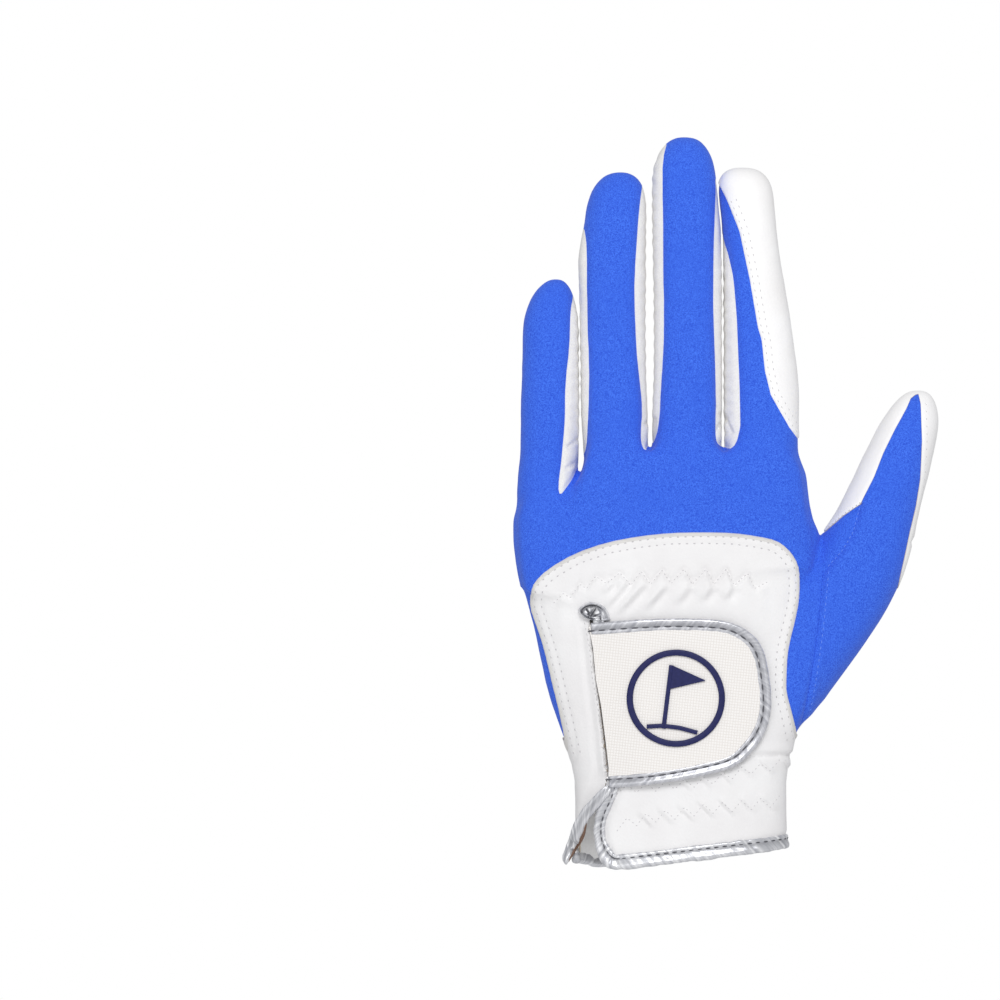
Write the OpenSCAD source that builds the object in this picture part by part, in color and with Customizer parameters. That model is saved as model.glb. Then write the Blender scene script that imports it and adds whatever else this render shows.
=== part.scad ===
// Left-hand golf glove, laid open as it sits on a hand.
// Millimetres. +X is the thumb side, +Y the palm side, +Z runs along the middle finger.
// The origin is the middle of the wrist opening, at the level of the hem.
// Every panel is a thin shell on one hand shape, cut along its real seams.

/* [Materials] */
// Thickness of the leather and knit panels
skin = 0.8; // [0.6:0.1:1.0]
// Gap left along a seam between two panels
seam_gap = 0.1; // [0.05:0.05:0.2]
// Clearance between parts that move on each other
move_gap = 0.3; // [0.2:0.05:0.4]

/* [Hand] */
// Half thickness of the hand at the knuckles
knuckle_half = 11.5; // [10:0.5:13]
// Half thickness of the wrist opening
wrist_half = 14; // [12:0.5:15]
// Slope of the hem: how much the thumb side rises per millimetre
hem_slope = 0.128; // [0.1:0.002:0.14]

/* [Fingers] */
// Height of the crotches beside the middle finger
root_z = 120.6; // [119:0.2:122]
// Height of the crotch beside the little finger
little_root_z = 107.4; // [106:0.2:108]
// How far the fingertips curl to the palm side
curl = 6; // [4:0.5:7]
// Half thickness of a finger at its root
finger_half = 9; // [8:0.5:10]

/* [Thumb] */
// Lean of the thumb from upright, in degrees
thumb_lean = 19.7; // [18:0.1:22]
// Length of the thumb stall above its root
thumb_length = 49; // [47:0.5:51]

/* [Closure] */
// Thickness of the tab's leather, and of its woven face
tab_layer = 0.8; // [0.6:0.1:1.0]
// Radius of the silver piping round the tab
piping_r = 1.1; // [0.9:0.1:1.3]
// Height of the emblem above the tab's face
emblem_rise = 0.7; // [0.4:0.1:0.9]

/* [Palm grip] */
// Distance between the middles of neighbouring silicone dots
pad_pitch = 6; // [5.6:0.2:8]
// Radius of one dot
pad_r = 2.3; // [1.8:0.1:2.6]

/* [Hidden] */

// Colours of the materials.
BLUE = [0.20, 0.36, 0.90];
WHITE = [0.95, 0.95, 0.94];
FORK_WHITE = [0.90, 0.90, 0.89];
SILVER = [0.68, 0.68, 0.70];
WOVEN = [0.94, 0.92, 0.89];
NAVY = [0.12, 0.13, 0.36];
SILICONE = [0.88, 0.89, 0.90];
ELASTIC = [0.85, 0.85, 0.86];

// Angles round a section: 0 thumb side, 90 palm, 180 little-finger side, 270 back.
THUMB_SIDE = 360;
PALM = 90;
LITTLE_SIDE = 180;
BACK = 270;
// Squareness of the hand's sections and of the fingers', where 2 is an ellipse.
HAND_POWER = 2.6;
FINGER_POWER = 2.3;

// Angle steps per panel, by how much of the section it covers.
WIDE = 14;
NARROW = 5;
FORK = 2;

// Height of the wrist's lowest section. The hem's binding straddles the origin.
WRIST_Z = -2;
// Sections of the hand, thumb mound included:
// [z, little side x, thumb side x, half thickness, middle y, slope].
HAND = [
    [WRIST_Z, -35.2, 29.6, wrist_half, 0, hem_slope],
    [12, -35, 29.3, 13.6, 0, 0.11],
    [27, -36.3, 30, 13, 0, 0.07],
    [37, -39, 35, 12.8, 0, 0.04],
    [47, -42, 42, 12.8, 0, 0.01],
    [56, -44.4, 48.3, 12.8, 0, 0],
    [66, -46.8, 55.2, 12.8, 0, 0],
    [75, -49, 60.6, 12.6, 0, 0],
    [84, -51.5, 64.5, 12.4, 0, 0]
];
SPLIT_Z = 84;
// The web between hand and thumb is cut here.
WEB_X = 38.5;
// Sections of the hand above the thumb mound, up to the little finger's root.
PALM_TOP = [
    [SPLIT_Z, -51.5, 64.5, 12.4, 0, 0],
    [90, -52.3, 46, 12.3, 0, 0],
    [94, -52.7, WEB_X, 12.2, 0, 0],
    [100, -52.6, 35.9, 12, 0, 0],
    [little_root_z - move_gap, -52, 34.8, 11.8, 0, 0]
];
// Sections of the hand from the little finger's root up to the other three.
KNUCKLES = [
    [little_root_z - move_gap + seam_gap, -33, 34.8, 11.8, 0, 0],
    [114, -33, 33.9, 11.7, 0, 0],
    [root_z - move_gap, -33, 33, knuckle_half, 0, 0]
];

// Finger sections: [z, little side x, thumb side x, half thickness]. Depth comes from the curl.
MIDDLE = [
    [root_z, -11.8, 9.6, finger_half], [140, -11.2, 9.2, 8.9], [165, -10.9, 9, 8.6],
    [185, -11.2, 8.5, 8.2], [198, -11.4, 7.9, 7.3], [204.6, -10.8, 7.2, 6], [209.4, -9, 5.8, 4.4],
    [212.6, -5.8, 3.6, 2.4], [214.2, -1.6, 0.2, 0.4]
];
RING = [
    [root_z, -32.7, -12.2, finger_half], [134, -32.7, -12.9, 8.9], [150, -33.3, -13.2, 8.7],
    [178, -33.5, -13.2, 8.2], [190, -32, -13.3, 7.2], [195, -30.3, -13.5, 6], [199.8, -27.9, -14.6, 4.4],
    [202.4, -25, -17.4, 2.4], [203.6, -21.8, -20.2, 0.4]
];
INDEX = [
    [root_z, 10, 32.4, finger_half], [145, 10, 31.2, 8.8], [170, 9.6, 28.2, 8.3],
    [187, 9, 25.8, 7.4], [194, 8.7, 24.6, 6.4], [198.5, 8.6, 23.2, 5], [202, 9.4, 20.4, 3],
    [204.4, 13, 14.8, 0.4]
];
LITTLE = [
    [little_root_z, -51.6, -33.1, 8.4], [117, -51, -33.2, 8.3], [131, -50.4, -33.7, 8.1],
    [146, -50.4, -34.2, 7.8], [156, -49.8, -34.4, 7], [163, -48.2, -34.5, 5.8], [167.5, -46, -35.2, 4.2],
    [170.2, -43, -36.8, 2.3], [171.4, -40.8, -39.2, 0.4]
];
// Thumb sections in its own frame: [distance from its root, little side, thumb side, half thickness].
THUMB = [
    [0, -12.6, 13.5, 10.6], [14, -10.2, 12, 10], [27, -8.7, 10.2, 9.1],
    [36, -6.6, 8.9, 7.8], [thumb_length - 6, -4.2, 7.3, 6], [thumb_length - 2, -1.8, 5.4, 3.6],
    [thumb_length, 1.2, 2.8, 0.4]
];
THUMB_ROOT = [52.5, 3, 91.5];
THUMB_CURL = 5;

// Edge of the yoke on the back: [z, little side x, thumb side x].
YOKE_EDGE = [
    [27, -36.3, 30], [37, -37.5, 31.4], [47, -40, 29], [56, -42.5, 28.5], [66, -45.4, 30.4],
    [75, -47.6, 32.4], [84, -43.6, 32.4], [90, -33, 29], [94.4, -16, 20]
];
YOKE_TOP = 94.4;
UPPER_ROWS = [SPLIT_Z + seam_gap, 90, 94, YOKE_TOP];
// The seam down the back between the hand and the thumb: [z, x].
THUMB_SEAM = [[27, 29.8], [32, 32], [37, 33.8], [47, 36], [56, 37.2], [66, 38], [75, 39.4], [84, 42]];
// The same seam on the palm side.
THENAR_SEAM = [[WRIST_Z, 12], [27, 14], [37, 17], [47, 21], [56, 25], [66, 29], [75, 33], [84, 37]];

// Rows of the palm, from the hem to the split.
PALM_ROWS = [for (s = HAND) s[0]];
// Rows of the thumb mound and its seams, from above the cuff to the split.
MOUND_ROWS = [27, 32, 37, 47, 56, 66, 75, SPLIT_Z];

// The slit: its top, where the tab's lower corner closes it, and its open foot.
SLIT_TOP = [-29.4, 69.6];
SLIT_MID = [-25.5, 19];
SLIT_FOOT_LEFT = -34.2;
SLIT_FOOT_RIGHT = -27;
SLIT_GAP = 1.2;
SLIT_ROWS = [WRIST_Z, 9, SLIT_MID[1], 27, 37, 47, 56, 66, SLIT_TOP[1]];

// Outline of the tab on the back: [z, little side x, thumb side x].
TAB = [
    [24, -23.9, 4], [26, -24.2, 10], [31, -25, 17.2], [38, -26, 21.6], [47, -27.3, 23.4],
    [56, -28.6, 21.8], [62, -29.5, 17], [66.5, -30.1, 9.5], [68, -30.3, 4]
];
TAB_MIDDLE = 46;
// Height of the tab's underside over the hand.
TAB_FLOOR = 1.2;
// How far the tab's leather and its woven face stay clear of the sewn edge.
TAB_SEAM_CLEAR = 0.8;
TAB_FACE_CLEAR = 3;

// ---- Shape functions ----

function between(a, b, share) = a + (b - a) * share;
function signed_power(v, power) = sign(v) * pow(abs(v), power);

// Point of section s at angle a, moved out from the surface by rise.
function on_section(s, a, rise, power) =
    let (
        middle = (s[1] + s[2]) / 2,
        x = middle + max(0.2, (s[2] - s[1]) / 2 + rise) * signed_power(cos(a), 2 / power),
        y = s[4] + max(0.2, s[3] + rise) * signed_power(sin(a), 2 / power)
    ) [x, y, s[0] + s[5] * (x - middle)];

// Row of points of a section from angle a to b.
function row(s, a, b, rise, steps, power = HAND_POWER) =
    [for (i = [0 : steps]) on_section(s, between(a, b, i / steps), rise, power)];

// Angle on the back of section s at which x is reached.
function back_angle(s, x) =
    let (
        share = (x - (s[1] + s[2]) / 2) / ((s[2] - s[1]) / 2),
        c = signed_power(max(-1, min(1, share)), HAND_POWER / 2)
    ) 360 - acos(c);
function palm_angle(s, x) = 360 - back_angle(s, x);

// Hand section at any height below the split, from the table.
function column(table, k) = [for (s = table) [s[0], s[k]]];
function section_of(table, z) = [z, for (k = [1 : 5]) lookup(z, column(table, k))];
function hand_section(z) = section_of(HAND, z);
function upper_section(z) = section_of(PALM_TOP, z);

// Section of a finger with its depth: the tip curls to the palm side.
function curled(table, s, amount) =
    let (share = (s[0] - table[0][0]) / (table[len(table) - 1][0] - table[0][0]))
    [s[0], s[1], s[2], s[3], amount * share * share, 0];

// A row of thumb points, carried from the thumb's own frame to the glove's.
function thumb_place(points) = [
    for (p = points) THUMB_ROOT + [
        p[0] * cos(thumb_lean) + p[2] * sin(thumb_lean),
        p[1],
        p[2] * cos(thumb_lean) - p[0] * sin(thumb_lean)
    ]
];

// Closed shell between a grid of outer points and the same grid of inner points.
module shell(outer, inner) {
    rows = len(outer);
    cols = len(outer[0]);
    count = rows * cols;
    function at(side, i, j) = side * count + i * cols + j;
    sheets = [for (i = [0 : rows - 2], j = [0 : cols - 2]) each [
        [at(0, i, j), at(0, i, j + 1), at(0, i + 1, j + 1)],
        [at(0, i, j), at(0, i + 1, j + 1), at(0, i + 1, j)],
        [at(1, i, j), at(1, i + 1, j + 1), at(1, i, j + 1)],
        [at(1, i, j), at(1, i + 1, j), at(1, i + 1, j + 1)]
    ]];
    ends = [for (j = [0 : cols - 2]) each [
        [at(0, 0, j), at(1, 0, j), at(1, 0, j + 1), at(0, 0, j + 1)],
        [at(0, rows - 1, j), at(0, rows - 1, j + 1), at(1, rows - 1, j + 1), at(1, rows - 1, j)]
    ]];
    sides = [for (i = [0 : rows - 2]) each [
        [at(0, i, 0), at(0, i + 1, 0), at(1, i + 1, 0), at(1, i, 0)],
        [at(0, i, cols - 1), at(1, i, cols - 1), at(1, i + 1, cols - 1), at(0, i + 1, cols - 1)]
    ]];
    polyhedron(points = concat([for (r = outer) each r], [for (r = inner) each r]),
        faces = concat(sheets, ends, sides), convexity = 10);
}

// Shell panel over sections, each given as [section, start angle, end angle].
module panel(spans, steps, low = -skin, high = 0, power = HAND_POWER) {
    shell([for (p = spans) row(p[0], p[1], p[2], high, steps, power)],
        [for (p = spans) row(p[0], p[1], p[2], low, steps, power)]);
}

// Angle that half a seam gap takes up on a section's front and back, and on its sides.
RADIAN = 57.3;
function gap_angle(s) = seam_gap / (s[2] - s[1]) * RADIAN;
SIDE_GAP = 0.04;
// Heights under the surface of an elastic band's inner and outer face.
BAND_LOW = -skin - 1.2;
BAND_HIGH = -skin - 0.5;

// ---- Hand ----

// A part of the back between two edges, each given as [z, x] pairs.
module back_part(heights, left, right, steps) {
    panel([for (z = heights)
        let (s = hand_section(z))
        [s, back_angle(s, lookup(z, left)) + gap_angle(s), back_angle(s, lookup(z, right)) - gap_angle(s)]
    ], steps);
}

module knit_top(sections) {
    panel([for (s = sections)
        [s, LITTLE_SIDE + SIDE_GAP, s[2] > WEB_X ? back_angle(s, WEB_X) : THUMB_SIDE - SIDE_GAP]
    ], WIDE);
}

module back_panel() {
    yoke_left = [for (e = YOKE_EDGE) [e[0], e[1] - seam_gap]];
    yoke_right = [for (e = YOKE_EDGE) [e[0], e[2] + seam_gap]];
    color(BLUE) {
        // Above the yoke, over the knuckles.
        knit_top([
            upper_section(YOKE_TOP + 2 * seam_gap), PALM_TOP[3], PALM_TOP[4]
        ]);
        knit_top(KNUCKLES);
        // Down the little-finger side of the yoke.
        panel([for (z = MOUND_ROWS)
            let (s = hand_section(z))
            if (z > 32) [s, LITTLE_SIDE + SIDE_GAP, back_angle(s, lookup(z, yoke_left)) - gap_angle(s)]
        ], FORK);
        panel([for (z = UPPER_ROWS)
            let (s = upper_section(z))
            [s, LITTLE_SIDE + SIDE_GAP, back_angle(s, lookup(z, yoke_left)) - gap_angle(s)]
        ], NARROW);
        // Between the yoke and the thumb seam, up to the web.
        back_part([for (z = MOUND_ROWS) if (z > MOUND_ROWS[0]) z], yoke_right, THUMB_SEAM, NARROW - 2);
        panel([for (z = UPPER_ROWS)
            let (s = upper_section(z))
            [s, back_angle(s, lookup(z, yoke_right)) + gap_angle(s), back_angle(s, min(WEB_X, s[2] - 0.2))]
        ], NARROW);
    }
}

module palm_panel() {
    color(WHITE) {
        panel([for (z = PALM_ROWS)
            let (s = hand_section(z))
            [s, palm_angle(s, lookup(z, THENAR_SEAM)) + gap_angle(s), LITTLE_SIDE - SIDE_GAP]
        ], WIDE);
        panel([for (s = PALM_TOP)
            let (lifted = [max(s[0], SPLIT_Z + seam_gap), each [for (k = [1 : 5]) s[k]]])
            [lifted, s[2] > WEB_X ? palm_angle(s, WEB_X) : SIDE_GAP, LITTLE_SIDE - SIDE_GAP]
        ], WIDE);
        panel([for (s = KNUCKLES) [s, SIDE_GAP, LITTLE_SIDE - SIDE_GAP]], WIDE);
    }
}

// The mound below the thumb, ending at the thumb's root. Its last row is the root's own section.
module thumb_mound(start, finish, root_start, root_finish, steps, heights) {
    root = [-move_gap, THUMB[0][1], THUMB[0][2], THUMB[0][3], 0, 0];
    function wall(rise) = concat(
        [for (z = heights)
            let (s = hand_section(z))
            row(s, start(s, z), finish(s, z), rise, steps)],
        [thumb_place(row(root, root_start, root_finish, rise, steps, FINGER_POWER))]
    );
    shell(wall(0), wall(-skin));
}

module thumb_base_back() {
    color(BLUE) thumb_mound(
        function (s, z) back_angle(s, lookup(z, THUMB_SEAM)) + gap_angle(s),
        function (s, z) THUMB_SIDE - SIDE_GAP,
        LITTLE_SIDE + 1, THUMB_SIDE - 0.1, NARROW + 2, MOUND_ROWS);
}

module thumb_base_palm() {
    color(WHITE) thumb_mound(
        function (s, z) SIDE_GAP,
        function (s, z) palm_angle(s, lookup(z, THENAR_SEAM)) - gap_angle(s),
        0.1, LITTLE_SIDE - 1, NARROW + 2, PALM_ROWS);
}

// Edges of the slit at a height, on the side named by its foot.
function slit_edge(z, foot) =
    z > SLIT_MID[1]
        ? between(SLIT_MID[0], SLIT_TOP[0], (z - SLIT_MID[1]) / (SLIT_TOP[1] - SLIT_MID[1]))
        : between(foot, SLIT_MID[0], (z - WRIST_Z) / (SLIT_MID[1] - WRIST_Z));
function slit_left(z) = slit_edge(z, SLIT_FOOT_LEFT) - SLIT_GAP / 2;
function slit_right(z) = slit_edge(z, SLIT_FOOT_RIGHT) + SLIT_GAP / 2;

module yoke() {
    left = [for (z = SLIT_ROWS) [z, slit_left(z)]];
    right = [for (z = SLIT_ROWS) [z, slit_right(z)]];
    edge_left = column(YOKE_EDGE, 1);
    edge_right = column(YOKE_EDGE, 2);
    color(WHITE) {
        // Little-finger side of the slit.
        panel([for (z = SLIT_ROWS)
            let (s = hand_section(z))
            [s, z < 28 ? LITTLE_SIDE + SIDE_GAP : back_angle(s, lookup(z, edge_left)),
                back_angle(s, lookup(z, left))]
        ], NARROW - 1);
        // Thumb side of the slit, round to the side seam at the cuff.
        panel([for (z = SLIT_ROWS)
            let (s = hand_section(z))
            [s, back_angle(s, lookup(z, right)),
                z < 26 ? THUMB_SIDE - SIDE_GAP : back_angle(s, lookup(z, edge_right) - 0.3)]
        ], WIDE);
        // Above the slit.
        panel([for (z = [SLIT_TOP[1] + seam_gap, 75, 84])
            let (s = hand_section(z))
            [s, back_angle(s, lookup(z, edge_left)), back_angle(s, lookup(z, edge_right))]
        ], WIDE);
        panel([for (z = UPPER_ROWS)
            let (s = upper_section(z))
            [s, back_angle(s, lookup(z, edge_left)) + gap_angle(s),
                back_angle(s, lookup(z, edge_right)) - gap_angle(s)]
        ], WIDE);
    }
}

// ---- Trim on the hand ----

// Strip of the back between two heights and two x values, at a rise from the surface.
module back_strip(z0, z1, x0, x1, low, high, rows = 2, steps = NARROW + 3) {
    panel([for (i = [0 : rows])
        let (z = between(z0, z1, i / rows), s = hand_section(z))
        [s, back_angle(s, x0), back_angle(s, x1)]
    ], steps, low, high);
}

module knuckle_elastic() {
    color(ELASTIC) back_strip(78, 83.5, -40, 24, BAND_LOW, BAND_HIGH);
}

module wrist_elastic_upper() {
    color(ELASTIC) back_strip(19, 25, -19, 27, BAND_LOW, BAND_HIGH);
}

module wrist_elastic_lower() {
    color(ELASTIC) back_strip(9, 15, -19, 27, BAND_LOW, BAND_HIGH);
}

module loop_patch() {
    color(FORK_WHITE) back_strip(30, 62, -12, 17.5, 0.2, 0.5, 4, NARROW + 2);
}

module size_label() {
    heights = [8, 14, 20];
    color(WHITE) panel([for (z = heights)
        let (s = hand_section(z))
        [s, palm_angle(s, 5), palm_angle(s, -9)]
    ], NARROW, -skin - 0.5, -skin - 0.1);
}

// Binding folded over one edge of the slit, from the hem's binding to its top.
BINDING_ROWS = [3, 9, SLIT_MID[1], 27, 37, 47, 56, 66, 68.6];
module slit_binding(edge, side, heights) {
    width = 2.2;
    color(SILVER) panel([for (z = heights)
        let (
            s = hand_section(z),
            x = edge(z),
            ends = side < 0 ? [x - width, x] : [x, x + width]
        )
        [s, back_angle(s, ends[0]), back_angle(s, ends[1])]
    ], FORK, 0.25, 0.85);
}

module slit_binding_left() {
    slit_binding(function (z) slit_left(z), -1, BINDING_ROWS);
}

module slit_binding_right() {
    slit_binding(function (z) slit_right(z), 1, BINDING_ROWS);
}

// Binding turned round the top of the slit, above the tab.
module slit_top_arch() {
    arch_r = 3.3;
    wire_r = 0.95;
    s = hand_section(SLIT_TOP[1]);
    p = on_section(s, back_angle(s, SLIT_TOP[0]), wire_r + 1.1, HAND_POWER);
    color(SILVER) translate([p[0], p[1], SLIT_TOP[1] + 0.4]) rotate([90, 0, 0]) rotate([0, 10, 0])
        rotate_extrude(angle = 180, $fn = 32) translate([arch_r, 0]) circle(wire_r, $fn = 16);
}

module hem_binding() {
    low_edge = WRIST_Z - 0.9;
    high_edge = WRIST_Z + 3.6;
    color(SILVER) panel([for (z = [low_edge, high_edge])
        let (s = [z, each [for (k = [1 : 5]) HAND[0][k]]])
        [s, back_angle(s, slit_right(WRIST_Z)) - 360, back_angle(s, slit_left(WRIST_Z))]
    ], 2 * WIDE, 0.2, 0.9);
}

// Silicone dots in a staggered grid, each moulded onto the palm.
module palm_grip_pads() {
    rise = pad_pitch * sin(60);
    color(SILICONE)
    for (i = [0 : 15], j = [0 : 11])
        let (
            z = 20 + i * rise,
            x = -44 + (j + (i % 2) / 2) * pad_pitch,
            s = z < SPLIT_Z ? hand_section(z) : [z, -52.5, 50, 12.3, 0, 0],
            left = s[1] + 6.5,
            right = min(lookup(z, THENAR_SEAM) - 5, 27),
            share = (x - (s[1] + s[2]) / 2) / ((s[2] - s[1]) / 2)
        )
        if (x > left && x < right && z < 93)
            translate([x, s[3] * pow(1 - pow(abs(share), HAND_POWER), 1 / HAND_POWER) - 0.3, z])
                rotate([-90, 0, 0])
                    cylinder(r = pad_r, h = 0.8, $fn = 20);
}

// ---- Closure tab ----

// Point over the back of the hand at x and z, raised from the surface.
function over_back(x, z, rise) =
    let (s = hand_section(z)) on_section(s, back_angle(s, x), rise, HAND_POWER);

// Rows of the tab, drawn in by inset, from its seam to its rounded end.
function tab_spans(inset, seam_side) = [
    for (e = TAB)
        let (
            z = between(TAB_MIDDLE, e[0], 1 - inset / 22),
            s = hand_section(z),
            right = e[2] - inset
        )
        [s, back_angle(s, e[1] + seam_side), back_angle(s, right)]
];

module tab_backing() {
    color(WHITE) panel(tab_spans(0, TAB_SEAM_CLEAR), NARROW + 3, TAB_FLOOR, TAB_FLOOR + tab_layer);
}

module tab_face() {
    color(WOVEN) panel(tab_spans(3, TAB_FACE_CLEAR), NARROW + 3,
        TAB_FLOOR + tab_layer + 0.1, TAB_FLOOR + 2 * tab_layer);
}

// Piping round the tab's free edge, swept along the outline of its top, end and foot.
module tab_piping() {
    sides = 8;
    height = TAB_FLOOR + tab_layer + piping_r + 0.1;
    outline = concat(
        [for (x = [-26.4, -17, -8]) [66.8, x]],
        [for (i = [len(TAB) - 1 : -1 : 0]) [between(TAB_MIDDLE, TAB[i][0], 0.95), TAB[i][2] - 1.2]],
        [for (x = [-6, -14, -20.2]) [25.1, x]]
    );
    path = [for (p = outline) over_back(p[1], p[0], height)];
    last = len(path) - 1;
    rings = [for (i = [0 : last])
        let (
            t = path[min(i + 1, last)] - path[max(i - 1, 0)],
            u = t / norm(t),
            side = cross(u, [0, 1, 0]),
            a = side / norm(side),
            b = cross(u, a)
        )
        [for (k = [0 : sides - 1])
            path[i] + piping_r * (a * cos(k * 360 / sides) + b * sin(k * 360 / sides))]
    ];
    walls = [for (i = [0 : last - 1], k = [0 : sides - 1])
        let (n = (k + 1) % sides)
        [i * sides + k, i * sides + n, (i + 1) * sides + n, (i + 1) * sides + k]];
    color(SILVER) polyhedron(
        points = [for (r = rings) each r],
        faces = concat(walls, [
            [for (k = [sides - 1 : -1 : 0]) k],
            [for (k = [0 : sides - 1]) last * sides + k]
        ]));
}

module hook_patch() {
    color(ELASTIC) back_strip(34, 58, -9, 14.5, TAB_FLOOR - 0.4, TAB_FLOOR - 0.15, 3, NARROW + 1);
}

// Round emblem on the woven face, following its curve: a ring with a pennant on its staff inside.
module emblem() {
    low = TAB_FLOOR + 2 * tab_layer + 0.05;
    high = low + emblem_rise;
    centre = [-4.6, TAB_MIDDLE];
    ring_r = 13.6;
    ring_w = 1.8;
    lean = 7;
    function spot(p, rise) = over_back(
        centre[0] + p[0] * cos(lean) - p[1] * sin(lean),
        centre[1] + p[0] * sin(lean) + p[1] * cos(lean), rise);
    module raised(rows) {
        shell([for (r = rows) [for (p = r) spot(p, high)]], [for (r = rows) [for (p = r) spot(p, low)]]);
    }
    staff = [for (z = [-8, -2.5, 3, 8.6]) [[-3.2, z], [-1.8, z]]];
    pennant = [[[-1.6, 1.4], [-1.4, 1.4]], [[-1.6, 4.9], [8, 4.9]], [[-1.6, 8.6], [-1.4, 8.6]]];
    ring = [for (k = [0 : 40])
        let (a = k * 359 / 40)
        [(ring_r - ring_w) * [cos(a), sin(a)], ring_r * [cos(a), sin(a)]]
    ];
    color(NAVY) {
        raised(ring);
        raised(staff);
        raised(pennant);
    }
}

// ---- Fingers ----

// One wall of a finger between two angles at its root and two at its tip.
module finger_wall(table, from, to, tip_from, tip_to, steps) {
    last = len(table) - 1;
    panel([for (i = [0 : last])
        let (s = curled(table, table[i], curl), share = i / last)
        [s, between(from, tip_from, share) + gap_angle(s), between(to, tip_to, share) - gap_angle(s)]
    ], steps, -skin, 0, FINGER_POWER);
}

module finger_back(table, from, to, tip_from, tip_to) {
    color(BLUE) finger_wall(table, from, to, tip_from, tip_to, NARROW);
}

module finger_palm(table, from, to) {
    color(WHITE) finger_wall(table, from, to, from, to, NARROW);
}

module finger_fork(table, from, to, tip_from, tip_to) {
    color(FORK_WHITE) finger_wall(table, from, to, tip_from, tip_to, FORK);
}

// Seam angles of a finger with a fourchette on both sides.
BACK_SEAMS = [228, 312];
PALM_SEAMS = [32, 148];

module index_back() {
    finger_back(INDEX, BACK_SEAMS[0], 306, 226, 240);
}

module index_palm() {
    finger_palm(INDEX, 12, PALM_SEAMS[1]);
}

module index_side_leather() {
    color(WHITE) finger_wall(INDEX, 306, 372, 240, 372, NARROW - 1);
}

module index_fourchette() {
    finger_fork(INDEX, PALM_SEAMS[1], BACK_SEAMS[0], PALM_SEAMS[1], 226);
}

module middle_back() {
    finger_back(MIDDLE, BACK_SEAMS[0], BACK_SEAMS[1], 190, 350);
}

module middle_palm() {
    finger_palm(MIDDLE, PALM_SEAMS[0], PALM_SEAMS[1]);
}

module middle_fourchette_index_side() {
    finger_fork(MIDDLE, BACK_SEAMS[1], THUMB_SIDE + PALM_SEAMS[0], 350, THUMB_SIDE + PALM_SEAMS[0]);
}

module middle_fourchette_ring_side() {
    finger_fork(MIDDLE, PALM_SEAMS[1], BACK_SEAMS[0], PALM_SEAMS[1], 190);
}

module ring_back() {
    finger_back(RING, BACK_SEAMS[0], BACK_SEAMS[1], 190, 350);
}

module ring_palm() {
    finger_palm(RING, PALM_SEAMS[0], PALM_SEAMS[1]);
}

module ring_fourchette_middle_side() {
    finger_fork(RING, BACK_SEAMS[1], THUMB_SIDE + PALM_SEAMS[0], 350, THUMB_SIDE + PALM_SEAMS[0]);
}

module ring_fourchette_little_side() {
    finger_fork(RING, PALM_SEAMS[1], BACK_SEAMS[0], PALM_SEAMS[1], 190);
}

module little_back() {
    finger_back(LITTLE, LITTLE_SIDE - 4, BACK_SEAMS[1] - 6, LITTLE_SIDE - 4, 350);
}

module little_palm() {
    finger_palm(LITTLE, PALM_SEAMS[0], LITTLE_SIDE - 4);
}

module little_fourchette() {
    finger_fork(LITTLE, BACK_SEAMS[1] - 6, THUMB_SIDE + PALM_SEAMS[0], 350, THUMB_SIDE + PALM_SEAMS[0]);
}

// ---- Thumb ----

module thumb_wall(from, to, tip_from, tip_to, steps) {
    last = len(THUMB) - 1;
    function wall(rise) = [for (i = [0 : last])
        let (
            s = curled(THUMB, THUMB[i], THUMB_CURL),
            share = i / last,
            g = gap_angle(s)
        )
        thumb_place(row(s, between(from, tip_from, share) + g, between(to, tip_to, share) - g,
            rise, steps, FINGER_POWER))];
    shell(wall(0), wall(-skin));
}

module thumb_back() {
    color(BLUE) thumb_wall(212, 334, 262, 290, NARROW);
}

module thumb_palm() {
    color(WHITE) thumb_wall(-26, 212, -70, 262, WIDE - 2);
}

back_panel();
palm_panel();
thumb_base_back();
thumb_base_palm();
yoke();
knuckle_elastic();
wrist_elastic_upper();
wrist_elastic_lower();
slit_binding_left();
slit_binding_right();
slit_top_arch();
hem_binding();
loop_patch();
size_label();
palm_grip_pads();
tab_backing();
tab_face();
tab_piping();
hook_patch();
emblem();
index_back();
index_palm();
index_side_leather();
index_fourchette();
middle_back();
middle_palm();
middle_fourchette_index_side();
middle_fourchette_ring_side();
ring_back();
ring_palm();
ring_fourchette_middle_side();
ring_fourchette_little_side();
little_back();
little_palm();
little_fourchette();
thumb_back();
thumb_palm();
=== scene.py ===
import math

import bmesh
import bpy
import numpy as np
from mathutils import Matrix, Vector
from mathutils.bvhtree import BVHTree


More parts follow.
